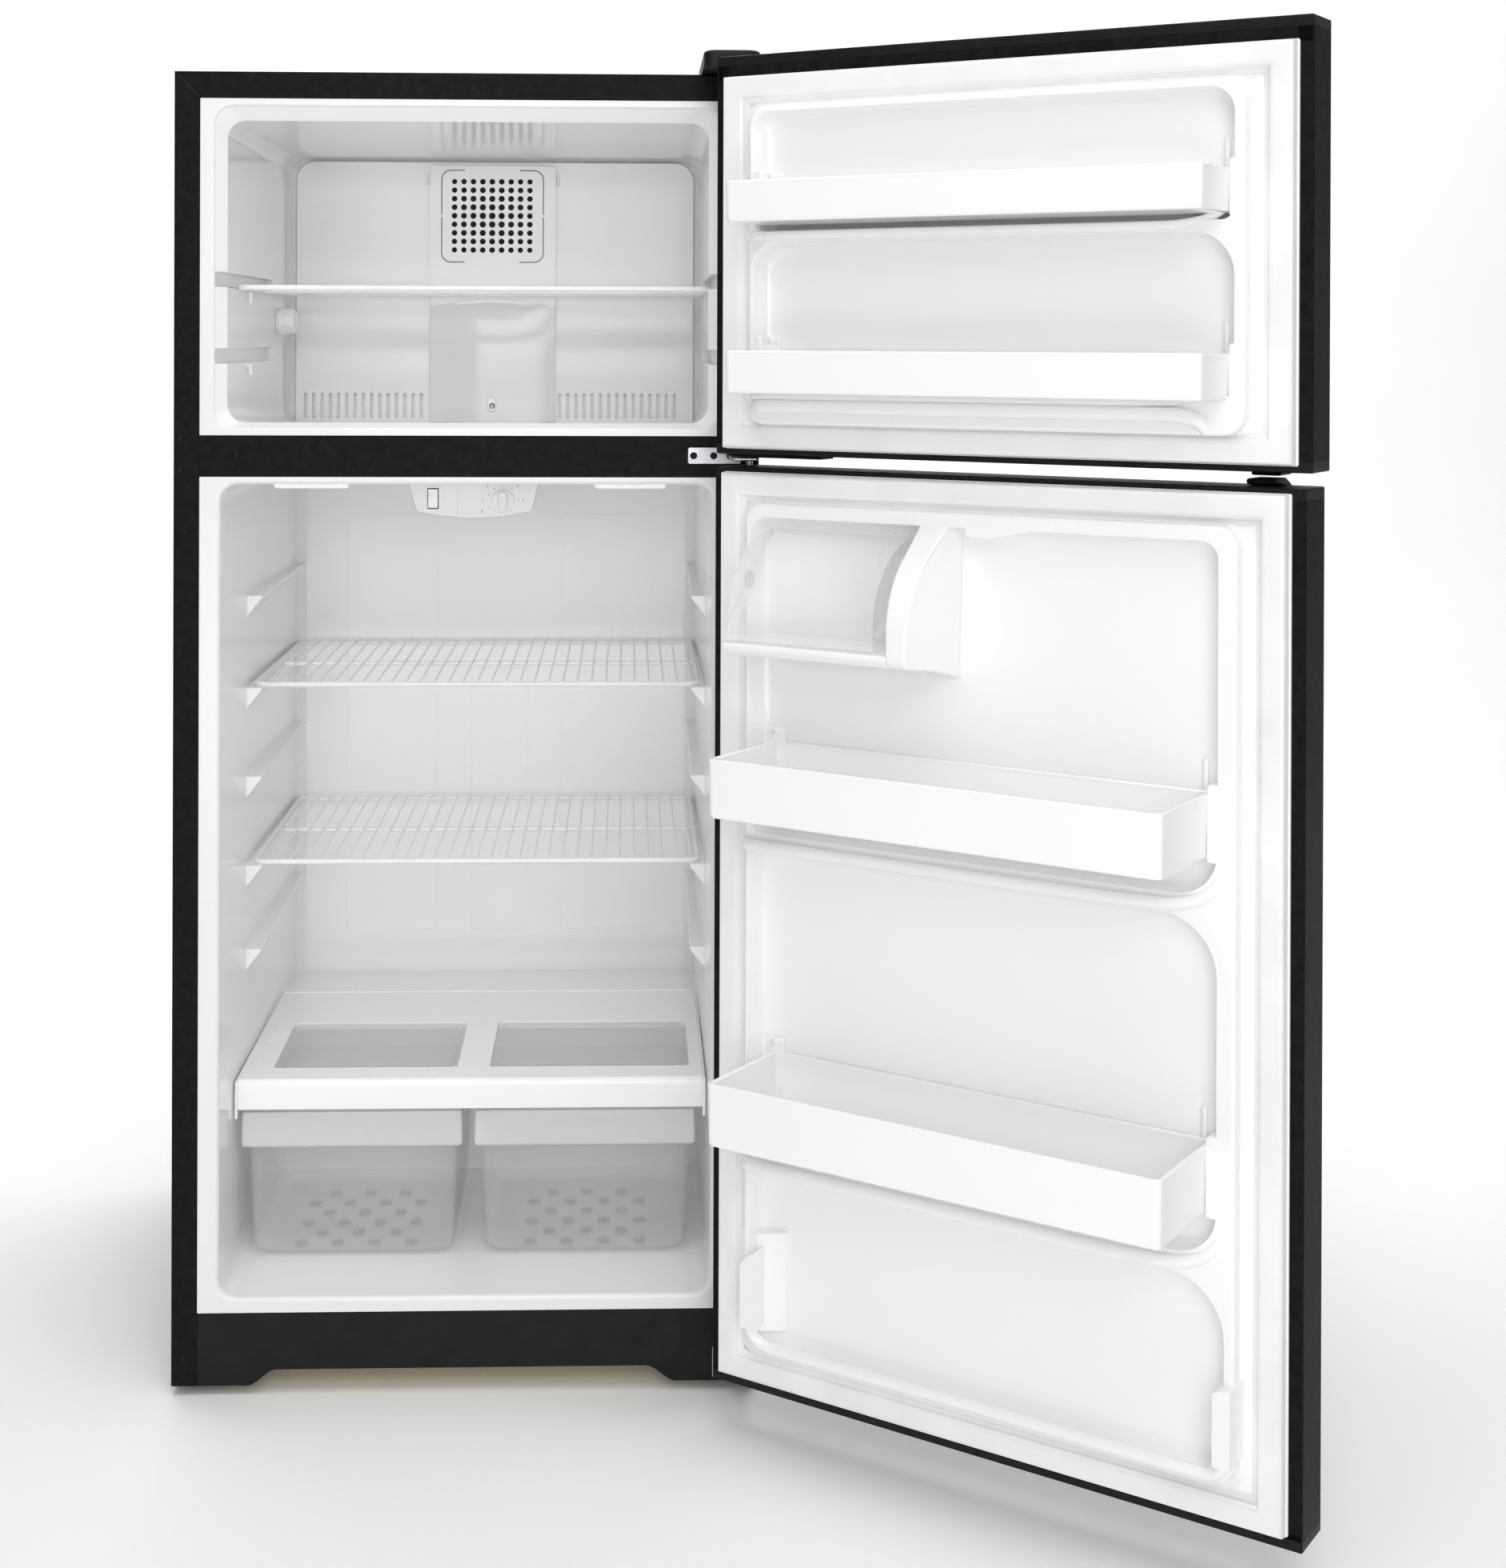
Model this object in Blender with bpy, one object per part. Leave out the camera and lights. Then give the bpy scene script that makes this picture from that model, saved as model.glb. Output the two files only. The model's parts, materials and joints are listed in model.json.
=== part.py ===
"""Top freezer refrigerator, standing with both doors open. Metres, +Z up, -Y is the front.

The origin is the middle of the base tray's underside. The doors hinge on the right, and each door is
modelled in its own frame: u runs from its hinge edge to its free edge, v runs out of its front face from
the plane of its back edge, and z is the height.
"""

import itertools
import math

import bmesh
import bpy

GAP = 0.0003  # between pieces that touch

# Cabinet
WIDTH = 0.711
DEPTH = 0.712
HEIGHT = 1.596
SHEET = 0.0015
SIDE_FLANGE = 0.0315
TOP_FLANGE = 0.0325
MULLION_BOTTOM = 1.104
MULLION_TOP = 1.154
TOE_HEIGHT = 0.088
SIDE = WIDTH / 2
FRONT = -DEPTH / 2
BACK = DEPTH / 2
FLOOR = -0.012  # what the legs and the rollers stand on

# Liners: the inside of each compartment
LINER_WALL = 0.0025
OPENING_SIDE = 0.3005
LINER_BACK = 0.284
BACK_BEND = 0.025
FREEZER_OPENING = (1.164, 1.538)
FREEZER_REAR = (1.146, 1.529)
FRIDGE_OPENING = (0.105, 1.095)
FRIDGE_REAR = (0.105, 1.092)
LINER_REAR_SIDE = 0.295
HUMP_FRONT = 0.074
HUMP_TOP = 0.328
LEDGE_REACH = 0.014
FRIDGE_LEDGE_HEIGHT = 0.022
FREEZER_LEDGE_HEIGHT = 0.012
FRIDGE_LEDGES = (0.935, 0.8185, 0.703, 0.5875, 0.478)
FREEZER_LEDGES = (1.3325, 1.247)

# Machine compartment and base
MACHINE_FRONT = 0.118
MACHINE_TOP = 0.286
FOAM_BOTTOM = 0.030
TRAY_SIDE = 0.283
RAIL_INNER = 0.289
RAIL_OUTER = 0.349
RAIL_TOP = 0.027
RAIL_WALL = 0.002
ROLLER_RADIUS = 0.017
ROLLER_Y = 0.285
LEG_Y = -0.300
COMPRESSOR = (-0.160, 0.236)

# Shelves, crispers and controls
SHELF_SIDE = 0.2925
SHELF_BAR = 0.006
SHELF_BARS = 17
FRIDGE_SHELF_Z = (0.822, 0.591)
FRIDGE_SHELF_Y = (-0.153, 0.255)
FREEZER_SHELF_Z = 1.336
FREEZER_SHELF_Y = (-0.243, 0.160)
COVER_FRONT = -0.256
COVER_REAR = 0.134
COVER_TOP = 0.3385
COVER_BOTTOM = 0.3285
DRAWER_FRONT = -0.241
DRAWER_REAR = 0.052
DRAWER_BOTTOM = 0.108
DRAWER_TOP = 0.285
KNOB_CENTRE = (0.0355, 1.064)
SWITCH_CENTRE = (-0.058, 1.067)
HOUSING_FRONT = -0.206
AIR_COVER_FRONT = 0.2215
AIR_FAN = (-0.0025, 1.452)

# Doors
DOOR_THICKNESS = 0.064
DOOR_STANDOFF = 0.016
HINGE_U = 0.0152
HINGE_V = 0.0506
DOOR_EDGE_RADIUS = 0.010
DOOR_SHEET = 0.0012
CAP = 0.012
HEM = 0.012
PIN_RADIUS = 0.004
PIN_HOLE = 0.005
FREEZER_DOOR = (1.138, 1.605)
FRIDGE_DOOR = (0.048, 1.123)
FREEZER_ANGLE = math.radians(146.05)
FRIDGE_ANGLE = math.radians(144.68)
GASKET_WIDTH = 0.026
GASKET_FACE = -0.0157
LINER_FACE = -0.003
DIKE_CREST = -0.030
HANDLE_U = (0.634, 0.666)
HANDLE_REACH = 0.040
BIN_ENDS = (0.0885, 0.6185)
FREEZER_BINS = {"upper": (1.4035, 1.450), "lower": (1.212, 1.260)}
FRIDGE_BINS = {"upper": (0.744, 0.810), "lower": (0.382, 0.452)}
FREEZER_BIN_REACH = 0.108
FRIDGE_BIN_REACH = 0.150
DAIRY_U = (0.0865, 0.282)
DAIRY_HINGE = (-0.020, 1.060)  # v, z


# Shapes

BLOCK_SIDES = ((0, 1, 3, 2), (4, 6, 7, 5), (0, 4, 5, 1), (2, 3, 7, 6), (0, 2, 6, 4), (1, 5, 7, 3))


def piece(name, vertices, faces, material=None, parent=None):
    """A closed mesh object with its faces turned outwards."""
    mesh = bpy.data.meshes.new(name)
    mesh.from_pydata(vertices, [], faces)
    build = bmesh.new()
    build.from_mesh(mesh)
    bmesh.ops.recalc_face_normals(build, faces=build.faces)
    build.to_mesh(mesh)
    build.free()
    if material:
        mesh.materials.append(material)
    thing = bpy.data.objects.new(name, mesh)
    bpy.context.scene.collection.objects.link(thing)
    thing.parent = parent
    return thing


def blocks(name, corner_sets, material=None, parent=None):
    """One mesh of six-sided blocks, each given by eight corners in the order x, y, z, low before high."""
    vertices = []
    faces = []
    for corners in corner_sets:
        first = len(vertices)
        vertices += corners
        faces += [tuple(first + corner for corner in side) for side in BLOCK_SIDES]
    return piece(name, vertices, faces, material, parent)


def boxes(name, spans, material=None, parent=None):
    """One mesh of boxes, each given by its low and its high corner."""
    corner_sets = [list(itertools.product(*zip(low, high))) for low, high in spans]
    return blocks(name, corner_sets, material, parent)


def box(name, low, high, material=None, parent=None):
    return boxes(name, [(low, high)], material, parent)


def loft(name, rings, material=None, parent=None):
    """A skin through rings of the same number of points, closed at both ends."""
    count = len(rings[0])
    vertices = [point for ring in rings for point in ring]
    faces = [tuple(range(count)), tuple(range(len(vertices) - count, len(vertices)))]
    for ring in range(len(rings) - 1):
        for i in range(count):
            a = ring * count + i
            b = ring * count + (i + 1) % count
            faces.append((a, b, b + count, a + count))
    return piece(name, vertices, faces, material, parent)


def along(axis, outline, place):
    """The outline's points in space, on the plane at this place along the axis."""
    if axis == "x":
        return [(place, a, b) for a, b in outline]
    if axis == "y":
        return [(a, place, b) for a, b in outline]
    return [(a, b, place) for a, b in outline]


def prism(name, outline, axis, start, stop, material=None, parent=None):
    return loft(name, [along(axis, outline, start), along(axis, outline, stop)], material, parent)


def circle(centre, radius, sides=16):
    turns = [2 * math.pi * (i + 0.5) / sides for i in range(sides)]
    return [(centre[0] + radius * math.cos(t), centre[1] + radius * math.sin(t)) for t in turns]


def rod(name, centre, radius, axis, start, stop, material=None, parent=None, sides=16):
    return prism(name, circle(centre, radius, sides), axis, start, stop, material, parent)


def turned(name, profile, centre, axis, material=None, parent=None, sides=16):
    """A solid of revolution: the profile lists (radius, place along the axis)."""
    rings = [along(axis, circle(centre, radius, sides), place) for radius, place in profile]
    return loft(name, rings, material, parent)


def arc(centre, radius, start, stop, steps=4):
    """Points on an arc, with its angles in degrees."""
    turns = [math.radians(start + (stop - start) * i / steps) for i in range(steps + 1)]
    return [(centre[0] + radius * math.cos(t), centre[1] + radius * math.sin(t)) for t in turns]


def rounded(low, high, radius, steps=3):
    """A rectangle with round corners, from its low to its high corner."""
    return (
        arc((high[0] - radius, high[1] - radius), radius, 0, 90, steps)
        + arc((low[0] + radius, high[1] - radius), radius, 90, 180, steps)
        + arc((low[0] + radius, low[1] + radius), radius, 180, 270, steps)
        + arc((high[0] - radius, low[1] + radius), radius, 270, 360, steps)
    )


def tube(name, points, radius, material=None, parent=None):
    """A round tube along straight runs, with filled ends."""
    curve = bpy.data.curves.new(name, "CURVE")
    curve.dimensions = "3D"
    curve.bevel_depth = radius
    curve.bevel_resolution = 1
    curve.use_fill_caps = True
    spline = curve.splines.new("POLY")
    spline.points.add(len(points) - 1)
    for spot, point in zip(spline.points, points):
        spot.co = (*point, 1)
    curve.materials.append(material)
    thing = bpy.data.objects.new(name, curve)
    bpy.context.scene.collection.objects.link(thing)
    thing.parent = parent
    return thing


def combine(thing, operation, tools):
    for tool in tools:
        tool.hide_render = True
        tool.display_type = "WIRE"
        modifier = thing.modifiers.new(operation.title(), "BOOLEAN")
        modifier.operation = operation
        modifier.object = tool
    return thing


def cut(thing, *tools):
    return combine(thing, "DIFFERENCE", tools)


def join(thing, *tools):
    return combine(thing, "UNION", tools)


def finish(name, colour, roughness, metallic=0.0, alpha=1.0):
    material = bpy.data.materials.new(name)
    material.use_nodes = True
    shader = material.node_tree.nodes["Principled BSDF"]
    shader.inputs["Base Color"].default_value = (*colour, 1)
    shader.inputs["Roughness"].default_value = roughness
    shader.inputs["Metallic"].default_value = metallic
    shader.inputs["Alpha"].default_value = alpha
    return material


def pivot(name, location, parent=None, turn=0.0):
    empty = bpy.data.objects.new(name, None)
    bpy.context.scene.collection.objects.link(empty)
    empty.location = location
    empty.rotation_euler.z = turn
    empty.parent = parent
    return empty


# Cabinet


def cavity(name, opening, rear, grow, front):
    """The space inside a liner, grown by a wall: it narrows to the back, where its edges are bent.

    Its sides run on past the plane of the opening to where front says."""
    corner = 0.022
    bend = LINER_BACK - BACK_BEND
    share = (front - FRONT) / (bend - FRONT)
    ends = ((OPENING_SIDE, LINER_REAR_SIDE), (opening[0], rear[0]), (opening[1], rear[1]))
    side, low, high = (at_front + share * (at_rear - at_front) for at_front, at_rear in ends)
    bent = 0.015
    rings = []
    for y, half, bottom, top in (
        (front, side, low, high),
        (bend, LINER_REAR_SIDE, *rear),
        (LINER_BACK + grow, LINER_REAR_SIDE - bent, rear[0] + bent, rear[1] - bent),
    ):
        outline = rounded((-half - grow, bottom - grow), (half + grow, top + grow), corner + grow)
        rings.append(along("y", outline, y))
    return loft(name, rings)


def fridge_space(name, grow, front):
    """The refrigerator cavity with the step over the machine compartment taken out of it."""
    space = cavity(name, FRIDGE_OPENING, FRIDGE_REAR, grow, front)
    step = box(name + "_step", (-0.4, HUMP_FRONT + grow, 0), (0.4, 0.4, HUMP_TOP - grow))
    return cut(space, step)


def freezer_space(name, grow, front):
    return cavity(name, FREEZER_OPENING, FREEZER_REAR, grow, front)


def wall_at(y):
    """How far a liner's side wall is from the middle, at this depth."""
    share = (y - FRONT) / (LINER_BACK - BACK_BEND - FRONT)
    return OPENING_SIDE + share * (LINER_REAR_SIDE - OPENING_SIDE)


def ledges(name, levels, height, start, stop):
    """Shelf supports on both side walls, one pair at each level, rooted halfway into the wall."""
    corner_sets = []
    for top in levels:
        for side in (-1, 1):
            corners = []
            for reach in (LINER_WALL / 2, -LEDGE_REACH):
                for y in (start, stop):
                    for z in (top - height, top):
                        corners.append((side * (wall_at(y) + reach), y, z))
            corner_sets.append(corners)
    return blocks(name, corner_sets)


def liner(name, space, lip, supports, material):
    """A formed plastic liner: a lip in the plane of the front, a wall and its shelf supports."""
    side = SIDE - SIDE_FLANGE - GAP
    plate = box(name, (-side, FRONT + GAP, lip[0]), (side, FRONT + 0.003, lip[1]), material)
    join(plate, space(name + "_skin", LINER_WALL, FRONT + 0.001))
    cut(plate, space(name + "_inside", 0, FRONT - 0.01))
    return join(plate, supports)


def cabinet_shell(steel):
    """Sides, top and front flange, bent from one sheet."""
    inner = SIDE - SIDE_FLANGE
    outline = [(-SIDE, 0), (-SIDE, HEIGHT), (SIDE, HEIGHT), (SIDE, 0)]
    outline += [(inner, 0), (inner, HEIGHT - TOP_FLANGE), (-inner, HEIGHT - TOP_FLANGE), (-inner, 0)]
    shell = prism("cabinet_shell", outline, "y", FRONT, BACK, steel)
    space = box(
        "shell_space",
        (-SIDE + SHEET, FRONT + SHEET, -0.1),
        (SIDE - SHEET, BACK + 0.1, HEIGHT - SHEET),
    )
    return cut(shell, space)


def rear_panels(steel, board):
    side = SIDE - SHEET - GAP
    box("back_panel", (-side, BACK - SHEET, MACHINE_TOP), (side, BACK, HEIGHT - SHEET - GAP), steel)
    cover = box("rear_cover", (-side, BACK - 0.003, 0.012), (side, BACK, MACHINE_TOP - GAP), board)
    slots = []
    for i in range(12):
        x = 0.05 * (i - 5.5)
        slots.append(((x - 0.004, BACK - 0.01, 0.06), (x + 0.004, BACK + 0.01, 0.20)))
    cut(cover, boxes("rear_slots", slots))


def foam(material):
    side = SIDE - SHEET - GAP
    block = box(
        "foam_insulation",
        (-side, FRONT + 0.004, FOAM_BOTTOM),
        (side, BACK - SHEET - GAP, HEIGHT - SHEET - GAP),
        material,
    )
    machine = box("machine_space", (-0.4, MACHINE_FRONT, 0), (0.4, 0.4, MACHINE_TOP + GAP))
    clear = LINER_WALL + GAP
    cut(block, machine)
    cut(block, fridge_space("fridge_foam_space", clear, FRONT - 0.02))
    cut(block, freezer_space("freezer_foam_space", clear, FRONT - 0.02))


def toe_grille(material):
    """The skirt below the doors, with a foot at each end and an S curve up to its middle."""
    side = SIDE - SIDE_FLANGE - GAP
    foot_left, rise_left = -0.2625, -0.2285
    rise_right, foot_right = 0.2205, 0.2575
    lift = 0.019
    half = lift / 2
    run = (rise_left - foot_left) / 2
    bend = []
    for i in range(5):
        t = i / 4
        bend.append((foot_left + 2 * run * t, lift * (3 * t * t - 2 * t**3)))
    far = [(rise_right + (foot_right - rise_right) * i / 4, 0) for i in range(5)]
    back = [(x, lift - y) for (x, _), (_, y) in zip(far, bend)]
    outline = [(-side, 0), *bend, *back, (side, 0), (side, TOE_HEIGHT), (-side, TOE_HEIGHT)]
    prism("toe_grille", outline, "y", FRONT, FRONT + 0.003, material)


def mirrored(side, low, high):
    """A span of x on one side of the cabinet, for side +1 or -1."""
    return (low, high) if side > 0 else (-high, -low)


def base(steel, rubber, plastic):
    box("base_tray", (-TRAY_SIDE, FRONT + 0.076, 0), (TRAY_SIDE, BACK - 0.006, SHEET), steel)
    middle = (RAIL_INNER + RAIL_OUTER) / 2
    axle_z = FLOOR + ROLLER_RADIUS
    for word, side in (("left", -1), ("right", 1)):
        x0, x1 = mirrored(side, RAIL_INNER, RAIL_OUTER)
        rail = box(f"base_rail_{word}", (x0, FRONT + 0.016, GAP), (x1, BACK - 0.012, RAIL_TOP), steel)
        hollow = box(
            f"rail_space_{word}",
            (x0 + RAIL_WALL, FRONT, -0.01),
            (x1 - RAIL_WALL, BACK, RAIL_TOP - RAIL_WALL),
        )
        hole = rod(f"leg_hole_{word}", (side * middle, LEG_Y), 0.0055, "z", 0.02, 0.04)
        cut(rail, hollow, hole)
        axle = rod(f"axle_{word}", (ROLLER_Y, axle_z), 0.003, "x", x0 + 0.001, x1 - 0.001, sides=12)
        join(rail, axle)
        roller_at = side * middle
        rings = [(0.013, -0.012), (ROLLER_RADIUS, -0.009), (ROLLER_RADIUS, 0.009), (0.013, 0.012)]
        profile = [(radius, roller_at + place) for radius, place in rings]
        roller = turned(f"roller_{word}", profile, (ROLLER_Y, axle_z), "x", plastic, sides=24)
        bore = rod(f"roller_bore_{word}", (ROLLER_Y, axle_z), 0.0034, "x", x0, x1, sides=12)
        cut(roller, bore)
        leg = [(0.016, FLOOR), (0.016, -0.006), (0.010, -0.004), (0.005, -0.003), (0.005, 0.0285)]
        turned(f"levelling_leg_{word}", leg, (side * middle, LEG_Y), "z", rubber)


# Cooling machine


def serpentine(runs, low, high, start, pitch, bend_steps=3):
    """Points (along, across) of parallel runs joined by half-round bends."""
    radius = pitch / 2
    points = []
    for i in range(runs):
        across = start + i * pitch
        ends = (low, high) if i % 2 == 0 else (high, low)
        points.append((ends[0], across))
        points.append((ends[1], across))
        if i < runs - 1:
            outward = 1 if ends[1] == high else -1
            for step in range(1, bend_steps):
                turn = math.pi * step / bend_steps
                reach = ends[1] + outward * radius * math.sin(turn)
                points.append((reach, across + radius * (1 - math.cos(turn))))
    return points


def fan(name, centre, radius, axis, start, stop, material, blades=4):
    """A fan wheel: a hub with a shaft hole and blades, all one thickness."""
    outline = []
    for blade in range(blades):
        turn = 2 * math.pi * blade / blades
        for share, reach in ((0.0, 0.35), (0.08, 0.95), (0.3, 1.0), (0.55, 0.9), (0.65, 0.35)):
            angle = turn + share * 2 * math.pi / blades
            out = radius * reach
            outline.append((centre[0] + out * math.cos(angle), centre[1] + out * math.sin(angle)))
    wheel = prism(name, outline, axis, start, stop, material)
    return cut(wheel, rod(name + "_bore", centre, 0.0036, axis, start - 0.01, stop + 0.01, sides=12))


def compressor(material):
    x, y = COMPRESSOR
    profile = [(0.040, 0.006), (0.078, 0.020), (0.084, 0.060)]
    profile += [(0.084, 0.120), (0.076, 0.160), (0.040, 0.184)]
    pot = turned("compressor", profile, (x, y), "z", material, sides=20)
    join(pot, box("compressor_foot", (x - 0.095, y - 0.095, SHEET + GAP), (x + 0.095, y + 0.095, 0.0072)))


def condenser(metal, plastic, motor):
    points = []
    levels = 4
    runs = serpentine(7, 0.165, 0.315, 0.060, 0.024)
    for level in range(levels):
        z = 0.050 + 0.036 * level
        layer = runs if level % 2 == 0 else runs[::-1]
        points += [(x, y, z) for y, x in layer]
    tube("condenser_coil", points, 0.003, metal)
    pan = box("drain_pan", (0.030, 0.140, SHEET + GAP), (0.250, 0.340, 0.026), plastic)
    cut(pan, box("pan_space", (0.032, 0.142, SHEET + GAP + 0.002), (0.248, 0.338, 0.1)))
    centre = (0.240, 0.110)
    body = rod("condenser_fan_motor", centre, 0.022, "x", -0.012, 0.014, motor)
    shaft = rod("condenser_shaft", centre, 0.003, "x", -0.046, 0.0, sides=12)
    post = box("condenser_post", (-0.004, 0.225, SHEET + GAP), (0.002, 0.255, 0.105))
    join(body, shaft, post)
    fan("condenser_fan", centre, 0.062, "x", -0.042, -0.030, plastic)


def evaporator(metal, plastic, motor, white):
    points = [(x, 0.250, z) for x, z in serpentine(6, -0.21, 0.21, 1.180, 0.032)]
    tube("evaporator_coil", points, 0.004, metal)
    body = rod("evaporator_fan_motor", AIR_FAN, 0.026, "y", 0.2505, LINER_BACK - GAP, motor)
    join(body, rod("evaporator_shaft", AIR_FAN, 0.003, "y", 0.232, 0.255, sides=12))
    fan("evaporator_fan", AIR_FAN, 0.058, "y", 0.233, 0.243, plastic)
    air_cover(white)


def air_cover(white):
    """The freezer's rear panel: air slots low on both sides and a raised middle with the fan grille."""
    thick = 0.0025
    tower = (-0.0955, 0.0875)
    proud = 0.010
    outline = rounded((-0.286, 1.1515), (0.286, 1.5235), 0.018)
    cover = prism("evaporator_cover", outline, "y", AIR_COVER_FRONT, AIR_COVER_FRONT + thick, white)
    face = AIR_COVER_FRONT - proud
    join(cover, box("tower", (tower[0], face, 1.153), (tower[1], AIR_COVER_FRONT + 0.001, 1.522)))
    cut(
        cover,
        box(
            "tower_space",
            (tower[0] + thick, face + thick, 1.1555),
            (tower[1] - thick, AIR_COVER_FRONT + 0.01, 1.5195),
        ),
    )
    slots = []
    for i in range(16):
        for first, pitch in ((-0.279, 0.0112), (0.093, 0.0116)):
            x = first + i * pitch
            low = (x, AIR_COVER_FRONT - 0.005, 1.158)
            slots.append((low, (x + 0.0045, AIR_COVER_FRONT + 0.005, 1.194)))
    for i in range(9):
        z = 1.393 + 0.0145 * i
        slots.append(((-0.062, face - 0.005, z), (0.057, face + 0.005, z + 0.006)))
    cut(cover, boxes("air_slots", slots))


# Interior


def rack(name, z, span, material):
    """A shelf: bars from front to back between two end rails."""
    front, rear = span
    half = SHELF_BAR / 2
    shelf = box(name, (-SHELF_SIDE, front, z - half), (SHELF_SIDE, rear, z + half), material)
    pitch = (2 * SHELF_SIDE - 0.010) / (SHELF_BARS - 1)
    spans = []
    for i in range(SHELF_BARS - 1):
        left = -SHELF_SIDE + 0.005 + i * pitch
        low = (left + 0.003, front + 0.008, z - 0.01)
        spans.append((low, (left + pitch - 0.003, rear - 0.008, z + 0.01)))
    cut(shelf, boxes(name + "_gaps", spans))


def crisper_cover(white, clear):
    side = SHELF_SIDE
    low = (-side, COVER_FRONT, COVER_BOTTOM)
    frame = box("crisper_cover_frame", low, (side, COVER_REAR, COVER_TOP), white)
    skirt = box("cover_skirt", (-side, COVER_FRONT, 0.301), (side, COVER_FRONT + 0.004, COVER_TOP - 0.001))
    sides = []
    for low, high in ((-side, -side + 0.003), (side - 0.003, side)):
        sides.append(((low, COVER_FRONT + 0.001, 0.290), (high, COVER_FRONT + 0.040, COVER_TOP - 0.002)))
    join(frame, skirt, boxes("cover_ends", sides))
    windows = {"left": (-0.2555, -0.0205), "right": (0.0205, 0.2765)}
    rebate = 0.333
    y0, y1 = -0.206, -0.011
    for word, (x0, x1) in windows.items():
        hole = box(f"window_{word}", (x0 + 0.005, y0 + 0.005, 0.3), (x1 - 0.005, y1 - 0.005, 0.4))
        seat = box(f"seat_{word}", (x0, y0, rebate), (x1, y1, 0.4))
        cut(frame, hole, seat)
        low = (x0 + GAP, y0 + GAP, rebate + GAP)
        box(f"crisper_cover_panel_{word}", low, (x1 - GAP, y1 - GAP, rebate + 0.004), clear)


def drawer(name, x0, x1, clear):
    """A crisper drawer: it widens upwards, and a pull band runs across its front."""
    wall = 0.0025
    taper = 0.012

    def ring(shrink, inset, z):
        low = (x0 + shrink + inset, DRAWER_FRONT + shrink + inset)
        high = (x1 - shrink - inset, DRAWER_REAR - shrink - inset)
        return along("z", rounded(low, high, 0.014), z)

    body = loft(name, [ring(taper, 0, DRAWER_BOTTOM), ring(0, 0, DRAWER_TOP)], clear)
    band_low = (x0 - 0.002, DRAWER_FRONT - 0.008, 0.255)
    join(body, box(name + "_band", band_low, (x1 + 0.002, DRAWER_FRONT + 0.02, DRAWER_TOP)))
    inside = [ring(taper, wall, DRAWER_BOTTOM + wall), ring(-0.001, wall, DRAWER_TOP + 0.02)]
    cut(body, loft(name + "_inside", inside))


def controls(white, clear):
    outline = [(-0.0835, 1.0915), (-0.072, 1.050), (-0.062, 1.0435)]
    outline += [(0.060, 1.0435), (0.070, 1.050), (0.0825, 1.0915)]
    housing = prism("control_housing", outline, "y", HOUSING_FRONT, -0.042, white)
    face = HOUSING_FRONT - GAP
    knob = [(0.006, face - 0.014), (0.0125, face - 0.012), (0.0135, face - 0.003)]
    knob += [(0.0155, face - 0.003), (0.0150, face)]
    turned("temperature_knob", knob, KNOB_CENTRE, "y", white, sides=24)
    x, z = SWITCH_CENTRE
    half_x, half_z, play = 0.008, 0.0125, 0.0008
    low = (x - half_x - play, HOUSING_FRONT - 0.01, z - half_z - play)
    cut(housing, box("switch_pocket", low, (x + half_x + play, HOUSING_FRONT + 0.005, z + half_z + play)))
    low = (x - half_x, HOUSING_FRONT - 0.004, z - half_z)
    box("light_switch", low, (x + half_x, HOUSING_FRONT + 0.001, z + half_z), white)
    bulb = [(0.006, -0.0415), (0.013, -0.030), (0.015, -0.010), (0.011, 0.005), (0.004, 0.010)]
    turned("lamp_bulb", bulb, (0.0, 1.066), "y", clear, sides=12)
    dial = [(0.0195, -0.2945), (0.0195, -0.289), (0.016, -0.287), (0.0145, -0.275), (0.010, -0.273)]
    turned("freezer_dial", dial, (0.097, 1.296), "x", white, sides=24)


# Hinges


def hinge_pin(name, low, high):
    axis = (SIDE - HINGE_U, FRONT - DOOR_STANDOFF - HINGE_V)
    return rod(name, axis, PIN_RADIUS, "z", low, high, sides=12)


def hinges(steel, plastic):
    tip = FRONT - DOOR_STANDOFF - HINGE_V - 0.012
    arm = 1.607
    foot = HEIGHT + GAP
    bend = FRONT + 0.0135
    outline = [(-0.240, foot), (-0.240, foot + 0.003), (bend, foot + 0.003), (bend, arm + 0.003)]
    outline += [(tip, arm + 0.003), (tip, arm), (bend - 0.003, arm), (bend - 0.003, foot)]
    top = prism("top_hinge", outline, "x", 0.2875, 0.3475, steel)
    join(top, hinge_pin("top_pin", 1.5965, arm + 0.002))
    shape = [(-0.235, foot), (-0.235, 1.612), (-0.240, 1.616), (tip, 1.616), (tip - 0.006, 1.612)]
    shape += [(tip - 0.006, arm), (FRONT + 0.004, arm), (FRONT + 0.004, foot)]
    cover = prism("top_hinge_cover", shape, "x", 0.284, 0.3515, plastic)
    cut(cover, box("cover_space", (0.2855, tip - 0.0045, 1.5), (0.350, -0.2365, 1.6145)))

    plate = box("centre_hinge", (0.2685, FRONT - 0.003, 1.120), (0.333, FRONT - GAP, 1.141), steel)
    arm_box = box("centre_arm", (0.318, tip, 1.1285), (0.352, FRONT - 0.001, 1.1315))
    join(plate, arm_box, hinge_pin("centre_pin", 1.1135, 1.147))

    low = box("bottom_hinge", (0.302, FRONT - 0.003, 0.006), (0.352, FRONT - GAP, 0.042), steel)
    shelf = box("bottom_arm", (0.318, tip, 0.039), (0.352, FRONT - 0.001, 0.0425))
    join(low, shelf, hinge_pin("bottom_pin", 0.040, 0.0575))


# Doors


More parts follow.
